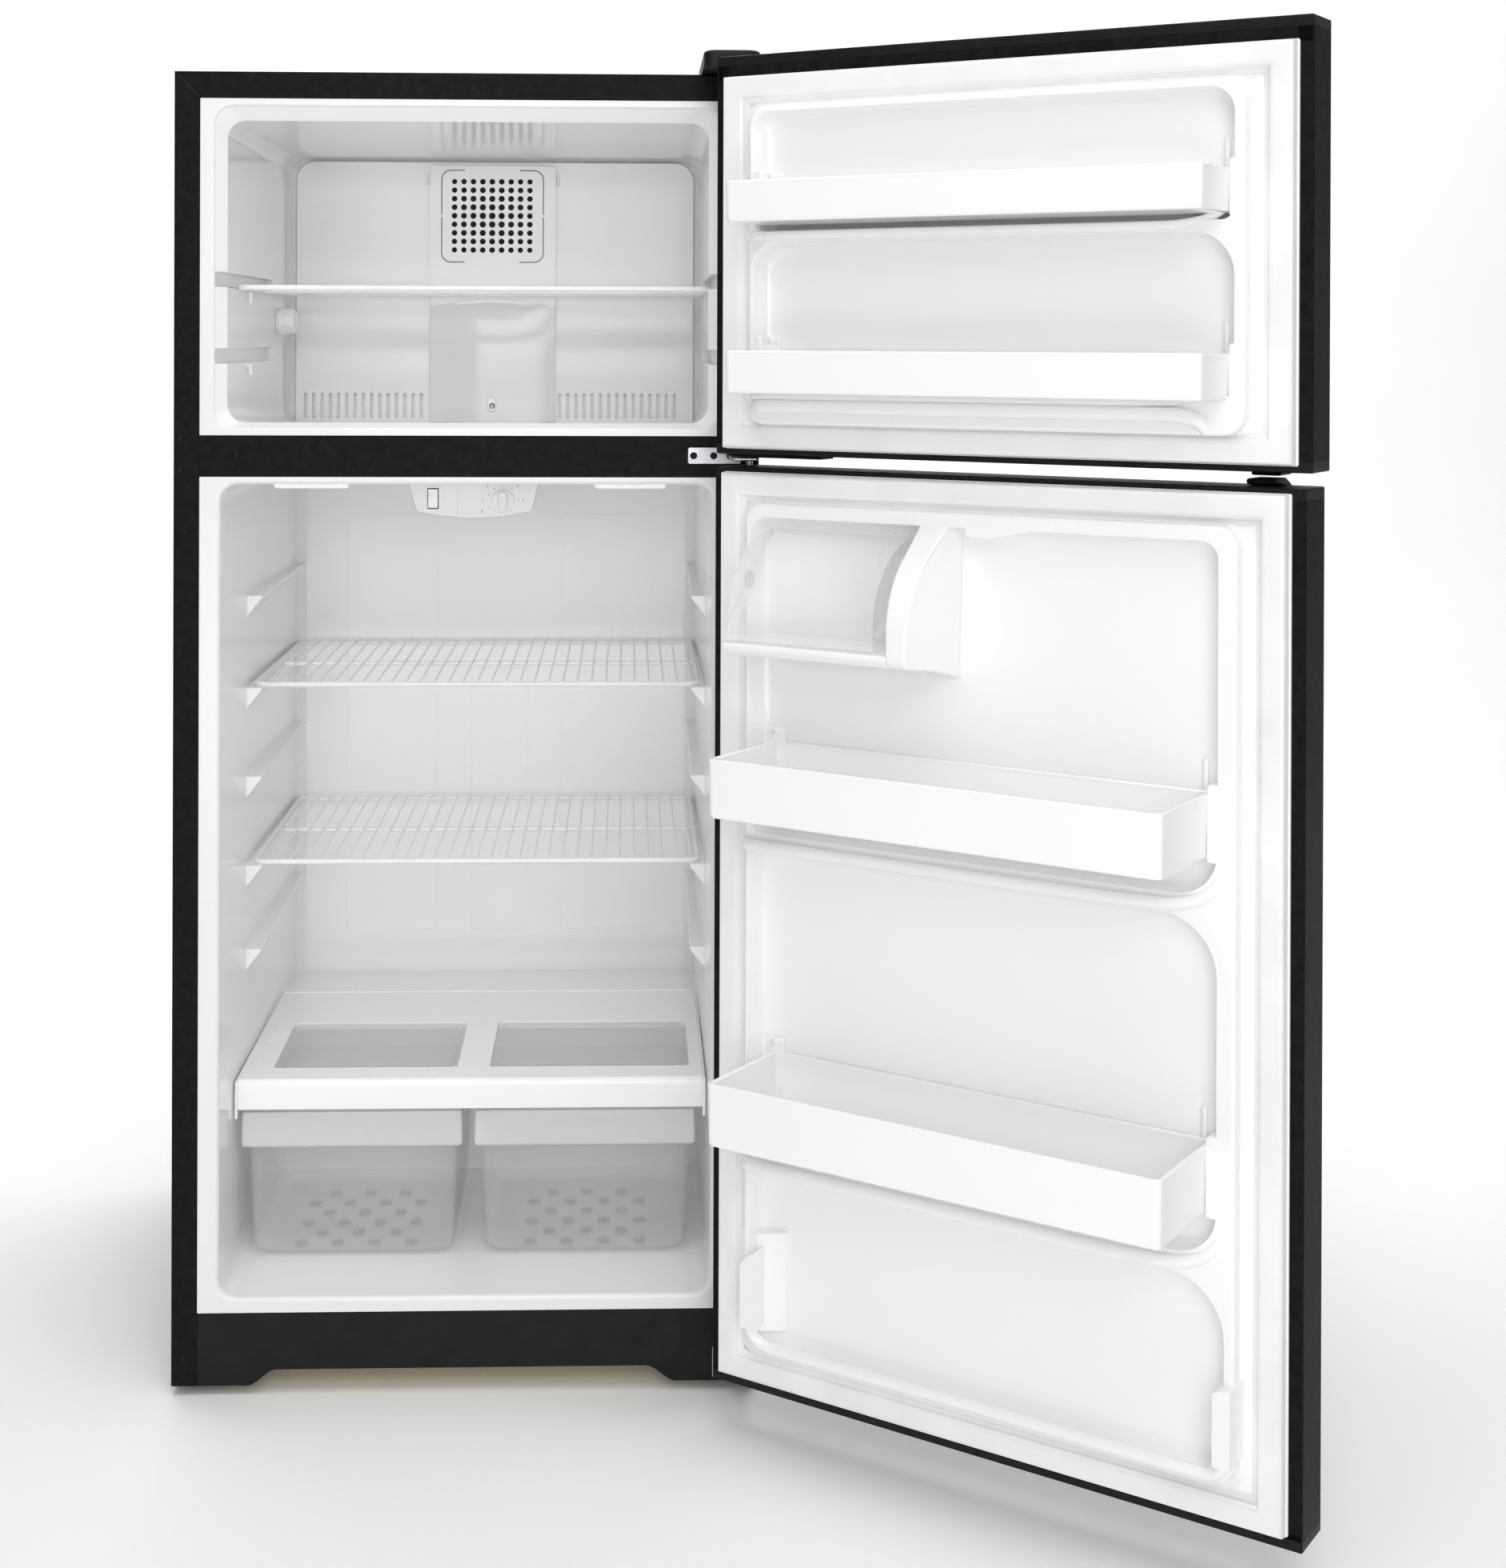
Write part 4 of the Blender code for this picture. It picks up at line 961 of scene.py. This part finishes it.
def controls():
    """The control housing under the refrigerator's ceiling, its dial marks, knob and door switch, with a black plate
    behind the switch as painted shade of the gap round it.
    """
    low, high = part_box("control_housing")
    front = low.y
    bow = [(-0.0730 + 0.142 * i / 12, 1.0500 - 0.0080 * math.sin(math.pi * i / 12)) for i in range(13)]
    outline = [(-0.0870, 1.0925), (-0.0770, 1.0535), *bow, (0.0730, 1.0530), (0.0830, 1.0925)]
    rings = []
    for by, y in ((0.0030, front), (0.0010, front + 0.0010), (0.0, front + 0.0035), (0.0, high.y)):
        rings.append([(x * (1 - by * 12), y, z + (by if z < 1.09 else 0)) for x, z in outline])
    box = Form().loft(rings)
    box.tube([(-0.0227, front + 0.0004, 1.0455), (-0.0227, front + 0.0004, 1.0920)], 0.0012, 10)
    piece("control_box", box, "cabinet", "white_plastic", ["control_housing"])
    knob_low, knob_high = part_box("temperature_knob")
    centre = ((knob_low.x + knob_high.x) / 2, (knob_low.z + knob_high.z) / 2)
    base = knob_high.y
    radius = (knob_high.x - knob_low.x) / 2 * 0.96
    knob = Form().turned([(radius, base), (radius, base - 0.002), (radius * 0.94, base - 0.0035), (radius * 0.90, base - 0.004)], centre, "y", 48)
    rings = []
    for half, share, y in ((0.0064, 0.88, base - 0.0035), (0.0064, 0.88, base - 0.006), (0.0050, 0.84, knob_low.y + 0.001), (0.0046, 0.82, knob_low.y)):
        grip = rounded((centre[0] - half, centre[1] - radius * share), (centre[0] + half, centre[1] + radius * share), half * 0.9)
        rings.append(along("y", grip, y))
    knob.loft(rings)
    piece("temperature_dial", knob, "temperature_knob", "white_plastic", ["temperature_knob"], 0.0006, 2)
    ring = Form().turned([(radius + 0.0007, front + 0.0002), (radius + 0.0007, front - 0.0002)], centre, "y", 48)
    marks = Form()
    for angle in (205, 155, 125, 92, 55, 5):
        toward = Vector((math.cos(math.radians(angle)), math.sin(math.radians(angle))))
        line = [tuple(Vector(centre) + toward * far) for far in (0.0190, 0.0212)]
        marks.prism(stroke(line, 0.0006), "y", front - 0.0002, front + 0.0001)
    # A black plate behind the rocker: painted shade of the gap round the switch.
    marks.prism(rounded((-0.0613, 1.0541), (-0.0467, 1.0809), 0.0012, 3), "y", front - 0.0004, front)
    piece("dial_ticks_and_rocker_painted_shade", marks, "cabinet", "black_plastic")
    piece("dial_seat", ring, "cabinet", "zinc_steel")
    for digit, x, z in (("0", 0.0085, 1.0510), ("1", 0.0095, 1.0650), ("2", 0.0155, 1.0835), ("4", 0.0545, 1.0835), ("5", 0.0610, 1.0650)):
        numeral("dial_number_" + digit, digit, (x, front - 0.0002, z))
    seat = Form()
    outer = rounded((-0.0660, 1.0530), (-0.0400, 1.0825), 0.0015, 3)
    hole = rounded((-0.0613, 1.0541), (-0.0467, 1.0809), 0.0012, 3)
    seat.plate(outer, [hole], "y", front - 0.0012)
    for loop in (outer, hole):
        seat.loft([along("y", loop, front - 0.0012), along("y", loop, front + 0.0005)], False, False)
    piece("switch_frame", seat, "cabinet", "white_plastic")
    switch_low, switch_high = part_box("light_switch")
    face = switch_low.y
    middle = (switch_low.z + switch_high.z) / 2
    profile = [(switch_high.y, 1.0555), (face + 0.0002, 1.0555), (face + 0.0024, middle + 0.002), (face + 0.0012, 1.0795), (switch_high.y, 1.0795)]
    rocker = Form().prism(profile, "x", -0.0603, -0.0478)
    piece("door_light_switch", rocker, "light_switch", "white_plastic", ["light_switch"], 0.0004, 2)


def numeral(name, digit, place):
    """A small printed digit, as a thin mesh."""
    text = bpy.data.curves.new(name, "FONT")
    text.body = digit
    text.size = 0.0042
    text.align_x = "CENTER"
    text.align_y = "CENTER"
    text.extrude = 0.0001
    holder = bpy.data.objects.new(name, text)
    bpy.context.scene.collection.objects.link(holder)
    mesh = bpy.data.meshes.new_from_object(holder.evaluated_get(bpy.context.evaluated_depsgraph_get()))
    bpy.data.objects.remove(holder)
    mesh.transform(Matrix.Translation(place) @ Matrix.Rotation(math.pi / 2, 4, "X"))
    mesh.materials.clear()
    placed(name, mesh, "cabinet", "black_plastic")


# Doors


def door_skin(door, joint, low, high, flange):
    """The folded steel skin with a rolled front edge, and its two moulded end caps."""
    space = door_space(joint)
    radius = 0.010
    cap = 0.0123
    hem = 0.0165
    left = arc((radius, THICKNESS - radius), radius, 180, 90, 8)
    right = arc((WIDTH - radius, THICKNESS - radius), radius, 90, 0, 8)
    outer = [(hem, 0), (0.0008, 0), (0, 0.0008), *left, *right, (WIDTH, 0.0008), (WIDTH - 0.0008, 0), (WIDTH - hem, 0)]
    sheet = 0.0012
    inner = [(min(max(u, sheet), WIDTH - sheet), min(max(v, sheet), THICKNESS - sheet)) for u, v in outer]
    skin = Form(space).prism(outer + inner[::-1], "z", low + cap, high - cap)
    for start, stop in ((low + cap, flange[0] + 0.003), (flange[1] - 0.003, high - cap)):
        if stop > start:
            skin.block((0.002, 0, start), (WIDTH - 0.002, sheet, stop))
    piece(f"{door}_skin", skin, door, "black_steel", [f"{door}_shell"])
    for word, edge, end in (("top", high - cap + 0.0003, high), ("bottom", low + cap - 0.0003, low)):
        rings = []
        for by, share in ((0, 0.0), (0, 0.75), (0.0008, 0.93), (0.0025, 1.0)):
            z = edge + (end - edge) * share
            rings.append([(min(max(u, by), WIDTH - by), min(max(v, by), THICKNESS - by), z) for u, v in outer[1:-1]])
        cover = Form(space).loft(rings)
        for u in (0.672, 0.690):
            cover.turned([(0.0022, -0.0006), (0.0022, 0.0004)], (u, (edge + end) / 2), "y", 14)
        if word == "bottom" and door == "freezer_door":
            cover.block((0.004, 0.028, low - 0.0048), (0.124, 0.060, low + 0.002))
        piece(f"{door}_{word}_end", cover, door, "black_plastic", [f"{door}_{word}_cap"])


def ring_profile(form, rect, profile):
    """A mitred frame: the profile lists (inset, v) round a rectangle given as (u0, u1, z0, z1)."""
    u0, u1, z0, z1 = rect
    rings = []
    for by, v in profile:
        rings.append([(u0 + by, v, z0 + by), (u1 - by, v, z0 + by), (u1 - by, v, z1 - by), (u0 + by, v, z1 - by)])
    rings.append(rings[0])
    return form.loft(rings, False, False)


def gasket(door, joint, low, high):
    """The magnetic seal: a flat band with soft edges and a folded base, mitred at its corners."""
    seal = Form(door_space(joint))
    profile = [(0.0, -0.0040), (0.0004, -0.0080), (0.0012, -0.0125), (0.0030, -0.0152), (0.0055, -0.0157)]
    profile += [(0.0200, -0.0157), (0.0240, -0.0150), (0.0262, -0.0128), (0.0272, -0.0095), (0.0300, -0.0080)]
    profile += [(0.0325, -0.0062), (0.0325, -0.0033), (0.0, -0.0033)]
    ring_profile(seal, (*GASKET_OUTER, low, high), profile)
    piece(f"{door}_seal", seal, door, "white_gasket", [f"{door}_gasket"], 0.0, 2, 50)


def pocket(form, low, high, radii, run=(0.031, 0.014, 0.010, 0.020)):
    """A recess in the door liner. The run is how far its left, bottom, right and top walls slope in."""
    depth = POCKET_FLOOR - CREST
    stages = [(0, 0), (0.015, 0.012), (0.040, 0.055), (0.060, 0.12), (0.075, 0.20), (0.16, 0.55)]
    stages += [(0.21, 0.69), (0.30, 0.82), (0.43, 0.915), (0.62, 0.975), (0.82, 0.996), (1, 1)]
    rings = []
    for inward, sunk in stages:
        floor_low = (low[0] + run[0] * inward, low[1] + run[1] * inward)
        floor_high = (high[0] - run[2] * inward, high[1] - run[3] * inward)
        corners = [radius * (1 - 0.35 * inward) for radius in radii]
        rings.append(along("y", rounded(floor_low, floor_high, corners, 8), CREST + depth * sunk))
    form.loft(rings, False, True)
    return rounded(low, high, radii, 8)


def door_panel(joint, flange, dike, crest, pockets):
    """The white inner panel: a flange, a dike that steps in where it enters the cabinet, and its pockets."""
    panel = Form(door_space(joint))
    face = -0.0030
    low, high = (0.0450, dike[0]), (0.6480, dike[1])
    crest_low, crest_high = (0.0600, crest[0]), (0.6495, crest[1])
    corners = [0.024, 0.020, 0.020, 0.024]
    rings = []
    for v in (-0.0003, face):
        rings.append(along("y", rounded((0.0145, flange[0]), (0.6965, flange[1]), 0.002, 8), v))
    for by, v in ((-0.0056, face), (-0.0040, face - 0.0010), (-0.0032, face - 0.0030)):
        rings.append(along("y", inset(low, high, corners, by, 8), v))
    rings.append(along("y", rounded(low, high, corners, 8), -0.0085))
    crown = 0.0045
    rings.append(along("y", rounded(crest_low, crest_high, corners, 8), -0.0172))
    for i in range(7):
        turn = math.pi / 2 * i / 6
        edge = inset(crest_low, crest_high, corners, crown * (1 - math.cos(turn)), 8)
        rings.append(along("y", edge, CREST + crown * (1 - math.sin(turn))))
    panel.loft(rings, True, False)
    mouths = [pocket(panel, *shape) for shape in pockets]
    panel.plate(inset(crest_low, crest_high, corners, crown, 8), mouths, "y", CREST)
    return panel


def ledge(form, z, radius, out):
    """A rounded ledge below a bin, which runs out into the dike at its free end."""
    path = [(0.0670, out + 0.004, z), (0.0730, out, z), (0.520, out, z), (0.580, out + 0.005, z + 0.001)]
    path += [(0.612, out + 0.011, z + 0.008), (0.6290, out + 0.014, z + 0.022), (0.6370, out + 0.018, z + 0.045)]
    form.tube(fillet(path, 0.03, 6), radius, 14)
    form.block((0.060, out + 0.002, z - radius + 0.001), (0.560, -0.0035, z + radius - 0.002))


def bin_piece(name, node_name, door, joint, low, high, reach, ends):
    """An open door bin with soft corners, a rolled rim and flat ends."""
    back = -0.006
    u0, u1 = ends

    def plan(by):
        corners = [(u0 + by, back - by), (u0 + by, by - reach), (u1 - by, by - reach), (u1 - by, back - by)]
        return [(u, v) for u, v, z in fillet([(u, v, 0) for u, v in corners], 0.007 - by * 0.5, 6)]

    profile = [(0.0035, low), (0.0010, low + 0.0010), (0.0, low + 0.0035), (-0.0008, high - 0.0055), (-0.0014, high - 0.0035)]
    profile += [(-0.0012, high - 0.0012), (0.0004, high), (0.0028, high - 0.0002), (0.0042, high - 0.0018), (0.0036, high - 0.0060)]
    profile += [(0.0032, low + 0.0060), (0.0045, low + 0.0040), (0.0070, low + 0.0032)]
    tray = vessel(Form(door_space(joint)), plan, profile)
    piece(name, tray, door, "white_plastic", [node_name])


def bin_lugs(door, joint, bins, ends, sides):
    """The formed supports in the liner at both ends of each bin."""
    lugs = Form(door_space(joint))
    for low, high in bins:
        lugs.prism(rounded((sides[0], low + 0.004), (ends[0] - 0.0005, high + 0.017), 0.004, 4), "y", -0.0285, -0.004)
        lugs.prism(rounded((ends[1] + 0.0005, low - 0.004), (sides[1] + 0.004, high + 0.010), 0.004, 4), "y", -0.0302, -0.004)
        lugs.prism(rounded((ends[0] - 0.002, low + 0.01), (ends[0] + 0.014, high + 0.015), 0.004, 4), "y", -0.0100, -0.003)
        lugs.prism(rounded((ends[1] - 0.012, low + 0.01), (ends[1] - 0.006, high + 0.033), 0.003, 4), "y", -0.0085, -0.003)
        dome = [(0.0055, 0.0), (0.0050, 0.0022), (0.0035, 0.0038), (0.0008, 0.0044)]
        spot = (ends[0] + 0.005, high + 0.012)
        lugs.turned([(radius, -0.0095 - height) for radius, height in dome], spot, "y", 18)
    piece(f"{door}_bin_lugs", lugs, door, "white_plastic", (), 0.003)


def guards(form):
    """The two stops at the ends of the lowest pocket, and the lip that joins them along its lower edge."""
    left = [(0.0665, 0.140), (0.0665, 0.2120), (0.0740, 0.2210), (0.0860, 0.2300), (0.0860, 0.140)]
    right = [(0.6320, 0.134), (0.6320, 0.2080), (0.6400, 0.2125), (0.6510, 0.2135), (0.6510, 0.134)]
    for outline in (left, right):
        form.prism(outline, "y", -0.0450, -0.0040)
    for outer, side in ((0.0735, 1), (0.6440, -1)):
        path = [(outer, -0.0370, 0.2000), (outer, -0.0370, 0.1500), (outer + side * 0.004, -0.0350, 0.1280)]
        path += [(outer + side * 0.020, -0.0320, 0.1185), (outer + side * 0.090, -0.0290, 0.1170), (0.359, -0.0270, 0.1170)]
        form.tube(fillet(path, 0.014, 6), 0.0068, 16)
    step = [(0.060, -0.0285), (0.080, -0.0285), (0.106, -0.0065), (0.106, -0.0035), (0.060, -0.0035)]
    form.prism(step, "z", 0.132, 0.244)


def freezer_door():
    door, joint = "freezer_door", "freezer_door_hinge"
    door_skin(door, joint, 1.138, 1.605, (1.145, 1.580))
    gasket(door, joint, 1.1455, 1.5795)
    pockets = [
        ((0.0650, 1.3965), (0.6383, 1.5345), [0.028, 0.020, 0.014, 0.014], (0.026, 0.010, 0.010, 0.024)),
        ((0.0650, 1.2130), (0.6383, 1.3860), [0.046, 0.034, 0.014, 0.014], (0.026, 0.010, 0.010, 0.022)),
    ]
    panel = door_panel(joint, (1.145, 1.580), (1.1750, 1.5455), (1.1750, 1.5390), pockets)
    ledge(panel, 1.3912, 0.0050, -0.0330)
    ledge(panel, 1.2075, 0.0050, -0.0330)
    path = [(0.0720, -0.0290, 1.1960), (0.0800, -0.0360, 1.1960), (0.5830, -0.0360, 1.1960), (0.6040, -0.0330, 1.1900), (0.6100, -0.0270, 1.1800)]
    panel.tube(fillet(path, 0.012, 6), 0.0078, 14)
    piece("freezer_door_panel", panel, door, "white_plastic", ["freezer_door_liner"])
    ends = (0.0775, 0.6315)
    bins = ((1.4035, 1.450), (1.212, 1.260))
    for word, (low, high) in zip(("upper", "lower"), bins):
        bin_piece(f"freezer_bin_{word}", f"freezer_door_bin_{word}", door, joint, low, high, 0.108, ends)
    bin_lugs(door, joint, bins, ends, (0.0655, 0.6375))


def fridge_door():
    door, joint = "fridge_door", "fridge_door_hinge"
    door_skin(door, joint, 0.048, 1.123, (0.063, 1.118))
    gasket(door, joint, 0.0635, 1.1175)
    pockets = [
        ((0.0650, 0.7050), (0.6300, 1.0690), [0.020, 0.024, 0.020, 0.046]),
        ((0.0650, 0.3380), (0.6300, 0.6850), [0.062, 0.020, 0.020, 0.046]),
        ((0.0665, 0.1180), (0.6390, 0.3180), [0.062, 0.020, 0.034, 0.034], (0.026, 0.024, 0.012, 0.020)),
    ]
    panel = door_panel(joint, (0.063, 1.118), (0.0970, 1.0840), (0.1090, 1.0840), pockets)
    ledge(panel, 0.6935, 0.0068, -0.0400)
    ledge(panel, 0.3260, 0.0068, -0.0400)
    piece("fridge_door_panel", panel, door, "white_plastic", ["fridge_door_liner"])
    extras = Form(door_space(joint))
    guards(extras)
    notch = [(0.344, 1.078), (0.344, 1.0610), (0.350, 1.0585), (0.375, 1.0590), (0.440, 1.0725), (0.444, 1.078)]
    extras.prism(notch, "y", -0.0303, -0.0035)
    piece("fridge_door_stops", extras, door, "white_plastic", (), 0.003)
    ends = (0.0885, 0.6175)
    bins = ((0.744, 0.810), (0.382, 0.452))
    for word, (low, high) in zip(("upper", "lower"), bins):
        bin_piece(f"fridge_bin_{word}", f"fridge_door_bin_{word}", door, joint, low, high, 0.1486, ends)
    bin_lugs(door, joint, bins, ends, (0.0655, 0.6290))
    dairy(door, joint)


def dairy(door, joint):
    """The dairy compartment: a shelf and a swept end wall in the door panel, and a clear hinged cover."""
    space = door_space(joint)
    hinge = (-0.020, 1.060)
    centre = (hinge[0] + 0.014, hinge[1] - 0.104)
    outline = [(-0.004, 1.079), (-0.020, 1.079), (-0.027, 1.074), (-0.034, 1.065)]
    outline += arc(centre, 0.1015, 125, 180, 10)
    outline += [(-0.1075, 0.945), *arc((-0.0955, 0.931), 0.012, 180, 265, 4), (-0.040, 0.911), (-0.004, 0.902)]
    rings = []
    for u, foot in ((0.2868, 0.0), (0.2930, 0.0), (0.3110, 0.0155)):
        rings.append([(u + foot * (1 + v / 0.1075) ** 3 + foot * 0.3 * soften((z - 0.93) / 0.08), v, z) for v, z in outline])
    wall = Form(space).loft(rings)
    trough = [(-0.004, 0.934), (-0.099, 0.934), (-0.1030, 0.9330), (-0.1075, 0.9330), (-0.1070, 0.927)]
    trough += [(-0.100, 0.9195), (-0.040, 0.911), (-0.004, 0.902)]
    wall.prism(trough, "x", 0.0790, 0.2872)
    piece("dairy_shelf", wall, door, "white_plastic", (), 0.005, 4)

    radius = 0.098
    thick = 0.002
    u0, u1 = 0.0830, 0.2700
    outer = [*arc(centre, radius, 84, 180, 14), (centre[0] - radius, 0.9365)]
    inner = [*arc(centre, radius - thick, 84, 180, 14), (centre[0] - radius + thick, 0.9365)]
    cover = Form(space)
    cover.prism(outer + inner[::-1], "x", u0, u1)
    end = [*inner[:-1], (centre[0] - radius + thick + 0.012, 0.9500), (centre[0] - 0.030, 1.000), (centre[0] - 0.012, 1.040)]
    for start in (u0, u1 - thick):
        cover.prism(end, "x", start, start + thick)
    edge = centre[0] - radius
    cover.prism([(edge - 0.001, 0.9375), (edge - 0.001, 0.9425), (edge + 0.003, 0.9425), (edge + 0.003, 0.9375)], "x", u0, u1)
    cover.tube([(u0, hinge[0], hinge[1] - 0.004), (u1, hinge[0], hinge[1] - 0.004)], 0.0030, 12)
    cover.turned([(0.0100, u0 + thick), (0.0100, u0 + 0.004), (0.0080, u0 + 0.004), (0.0080, u0 + thick)], (-0.060, 1.000), "x", 24)
    piece("dairy_lid", cover, "dairy_cover", "clear_plastic", ["dairy_cover"], 0.0005, 2)


def handle(door, joint, foot, end, door_edge):
    """A bar handle: its foot hooks over the door's edge and it runs clear of the door's face."""
    up = 1 if end > foot else -1
    face = THICKNESS + 0.0004
    out = 0.104
    thick = 0.013
    lip = door_edge - up * 0.0004
    outline = [(0.036, foot), (face + 0.008, foot)]
    outline += fillet([(face + 0.008, foot), (out - 0.004, foot + up * 0.012), (out, foot + up * 0.050), (out, end - up * 0.050), (out - 0.006, end - up * 0.012), (face + 0.008, end), (face, end)], 0.03, 6)[1:]
    outline += fillet([(face, end), (face, end - up * 0.045), (out - thick, end - up * 0.065), (out - thick, foot + up * 0.085), (face, foot + up * 0.060), (face, lip)], 0.02, 6)[1:]
    outline.append((0.036, lip))
    bar = Form(door_space(joint)).prism(outline, "x", 0.634, 0.666)
    piece(f"{door}_grip", bar, door, "black_plastic", [f"{door}_handle"], 0.003)


# Hinges


def hinge_covers():
    low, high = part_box("top_hinge_cover")
    rings = []
    for by, z in ((0.0, 1.5965), (0.0, high.z - 0.004), (0.0012, high.z - 0.0015), (0.004, high.z)):
        outline = rounded((low.x + by, low.y + by), (high.x - by, high.y - by), [0.006, 0.006, 0.012, 0.012])
        rings.append(along("z", outline, z))
    cover = Form().loft(rings)
    piece("top_hinge_cap", cover, "cabinet", "black_plastic", ["top_hinge_cover"])


def centre_hinge():
    low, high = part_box("centre_hinge")
    hinge = Form().prism(rounded((0.2685, 1.1205), (0.3330, 1.1405), 0.0025, 3), "y", FRONT - 0.003, FRONT - 0.0002)
    hinge.prism(rounded((0.3180, low.y), (0.3515, FRONT - 0.001), 0.004, 3), "z", 1.1285, 1.1315)
    axis = ((0.3403), (low.y + 0.012))
    hinge.turned([(0.004, low.z), (0.004, high.z)], axis, "z", 20)
    hinge.turned([(0.0075, 1.1315), (0.0075, 1.1335)], axis, "z", 20)
    piece("centre_hinge_plate", hinge, "cabinet", "zinc_steel", ["centre_hinge"], 0.0006, 2)
    heads = Form()
    for x in (0.2755, 0.3000, 0.3200):
        screw_head(heads, (x, 1.1305), FRONT - 0.003)
    piece("centre_hinge_screws", heads, "cabinet", "black_plastic")


# What isn't replaced keeps its CAD shape


def finish_nodes():
    """Gives every CAD node that still shows its procedural material."""
    slots = {part["node"]: part["material_slot"] for part in frame["record"]["subparts"]}
    for name, thing in frame["nodes"].items():
        thing.data.materials.clear()
        thing.data.materials.append(MATERIALS[slots[name]])
        for slot_entry in thing.material_slots:
            slot_entry.material = MATERIALS[slots[name]]


# Stage, light and camera


def stage():
    """A pale floor that bends up into a pale backdrop behind the object."""
    material, shader = shader_of("pale studio floor", (0.93, 0.93, 0.93), 0.9)
    tint(material, shader, noise(material, 1.5), (0.95, 0.95, 0.95), (0.97, 0.97, 0.97))
    profile = [(-7.0, FLOOR), (2.6, FLOOR)]
    profile += [(2.6 + 1.4 * math.sin(t), FLOOR + 1.4 * (1 - math.cos(t))) for t in (0.2, 0.4, 0.7, 1.0, 1.3, 1.5708)]
    profile.append((4.0, 6.0))
    points = []
    for x in (-8.0, 8.0):
        points += [(x, y, z) for y, z in profile]
    count = len(profile)
    faces = [(i, i + 1, count + i + 1, count + i) for i in range(count - 1)]
    mesh = bpy.data.meshes.new("studio_floor")
    mesh.from_pydata(points, [], faces)
    mesh.materials.append(material)
    mesh.shade_smooth()
    floor = bpy.data.objects.new("studio_floor", mesh)
    bpy.context.scene.collection.objects.link(floor)


def area_light(name, place, target, size, power):
    lamp = bpy.data.lights.new(name, "AREA")
    lamp.shape = "RECTANGLE"
    lamp.size, lamp.size_y = size
    lamp.energy = power
    holder = bpy.data.objects.new(name, lamp)
    holder.location = place
    holder.rotation_euler = (Vector(target) - Vector(place)).to_track_quat("-Z", "Y").to_euler()
    bpy.context.scene.collection.objects.link(holder)


def lights():
    world = bpy.data.worlds.new("studio")
    world.use_nodes = True
    world.node_tree.nodes["Background"].inputs["Color"].default_value = (1, 1, 1, 1)
    world.node_tree.nodes["Background"].inputs["Strength"].default_value = 0.25
    bpy.context.scene.world = world
    area_light("front", (0.4, -4.6, 3.2), (0.1, 0, 0.8), (2.5, 1.5), 50)
    area_light("low", (0.2, -3.8, 0.35), (0.1, 0, 0.9), (2.5, 0.6), 15)
    area_light("level", (0.3, -4.4, 1.5), (0.1, 0, 1.0), (2.2, 0.8), 22)
    area_light("above", (0.2, -1.8, 4.0), (0.1, -0.3, 0.4), (3.0, 2.5), 56)
    area_light("backdrop", (0.2, 1.4, 4.2), (0.2, 3.6, 0.6), (6.0, 2.0), 150)


def camera():
    """The photograph's viewpoint: level, a little right of the middle, with the frame shifted down."""
    yaw, pitch, roll = 0.03257, -0.00238, 0.00333
    ahead = Vector((math.sin(yaw), math.cos(yaw), 0))
    right = Vector((math.cos(yaw), -math.sin(yaw), 0))
    up = Vector((0, 0, 1))
    gaze = ahead * math.cos(pitch) + up * math.sin(pitch)
    top = up * math.cos(pitch) - ahead * math.sin(pitch)
    across = right * math.cos(roll) + top * math.sin(roll)
    upright = top * math.cos(roll) - right * math.sin(roll)
    view = bpy.data.cameras.new("photo_view")
    view.sensor_width = 36.0
    view.lens = 52.63
    view.shift_x = 0.0311
    view.shift_y = -0.2793
    view.clip_end = 50
    holder = bpy.data.objects.new("photo_view", view)
    place = Matrix((across, upright, -gaze)).transposed().to_4x4()
    place.translation = (0.19696, -3.15331, 1.27099)
    holder.matrix_world = place
    bpy.context.scene.collection.objects.link(holder)
    bpy.context.scene.camera = holder


def build():
    shell()
    front_trim()
    toe_skirt()
    cabinet_foam()
    freezer_liner()
    fridge_liner()
    air_cover()
    air_duct()
    dial_left()
    shelves()
    crisper_cover()
    crisper("left")
    crisper("right")
    controls()
    freezer_door()
    fridge_door()
    handle("freezer_door", "freezer_door_hinge", 1.1325, 1.440, 1.138)
    handle("fridge_door", "fridge_door_hinge", 1.130, 0.760, 1.123)
    hinge_covers()
    centre_hinge()
    finish_nodes()
    stage()
    lights()
    camera()
    bpy.context.scene.view_settings.view_transform = "Standard"
    bpy.context.scene.cycles.diffuse_bounces = 8


build()
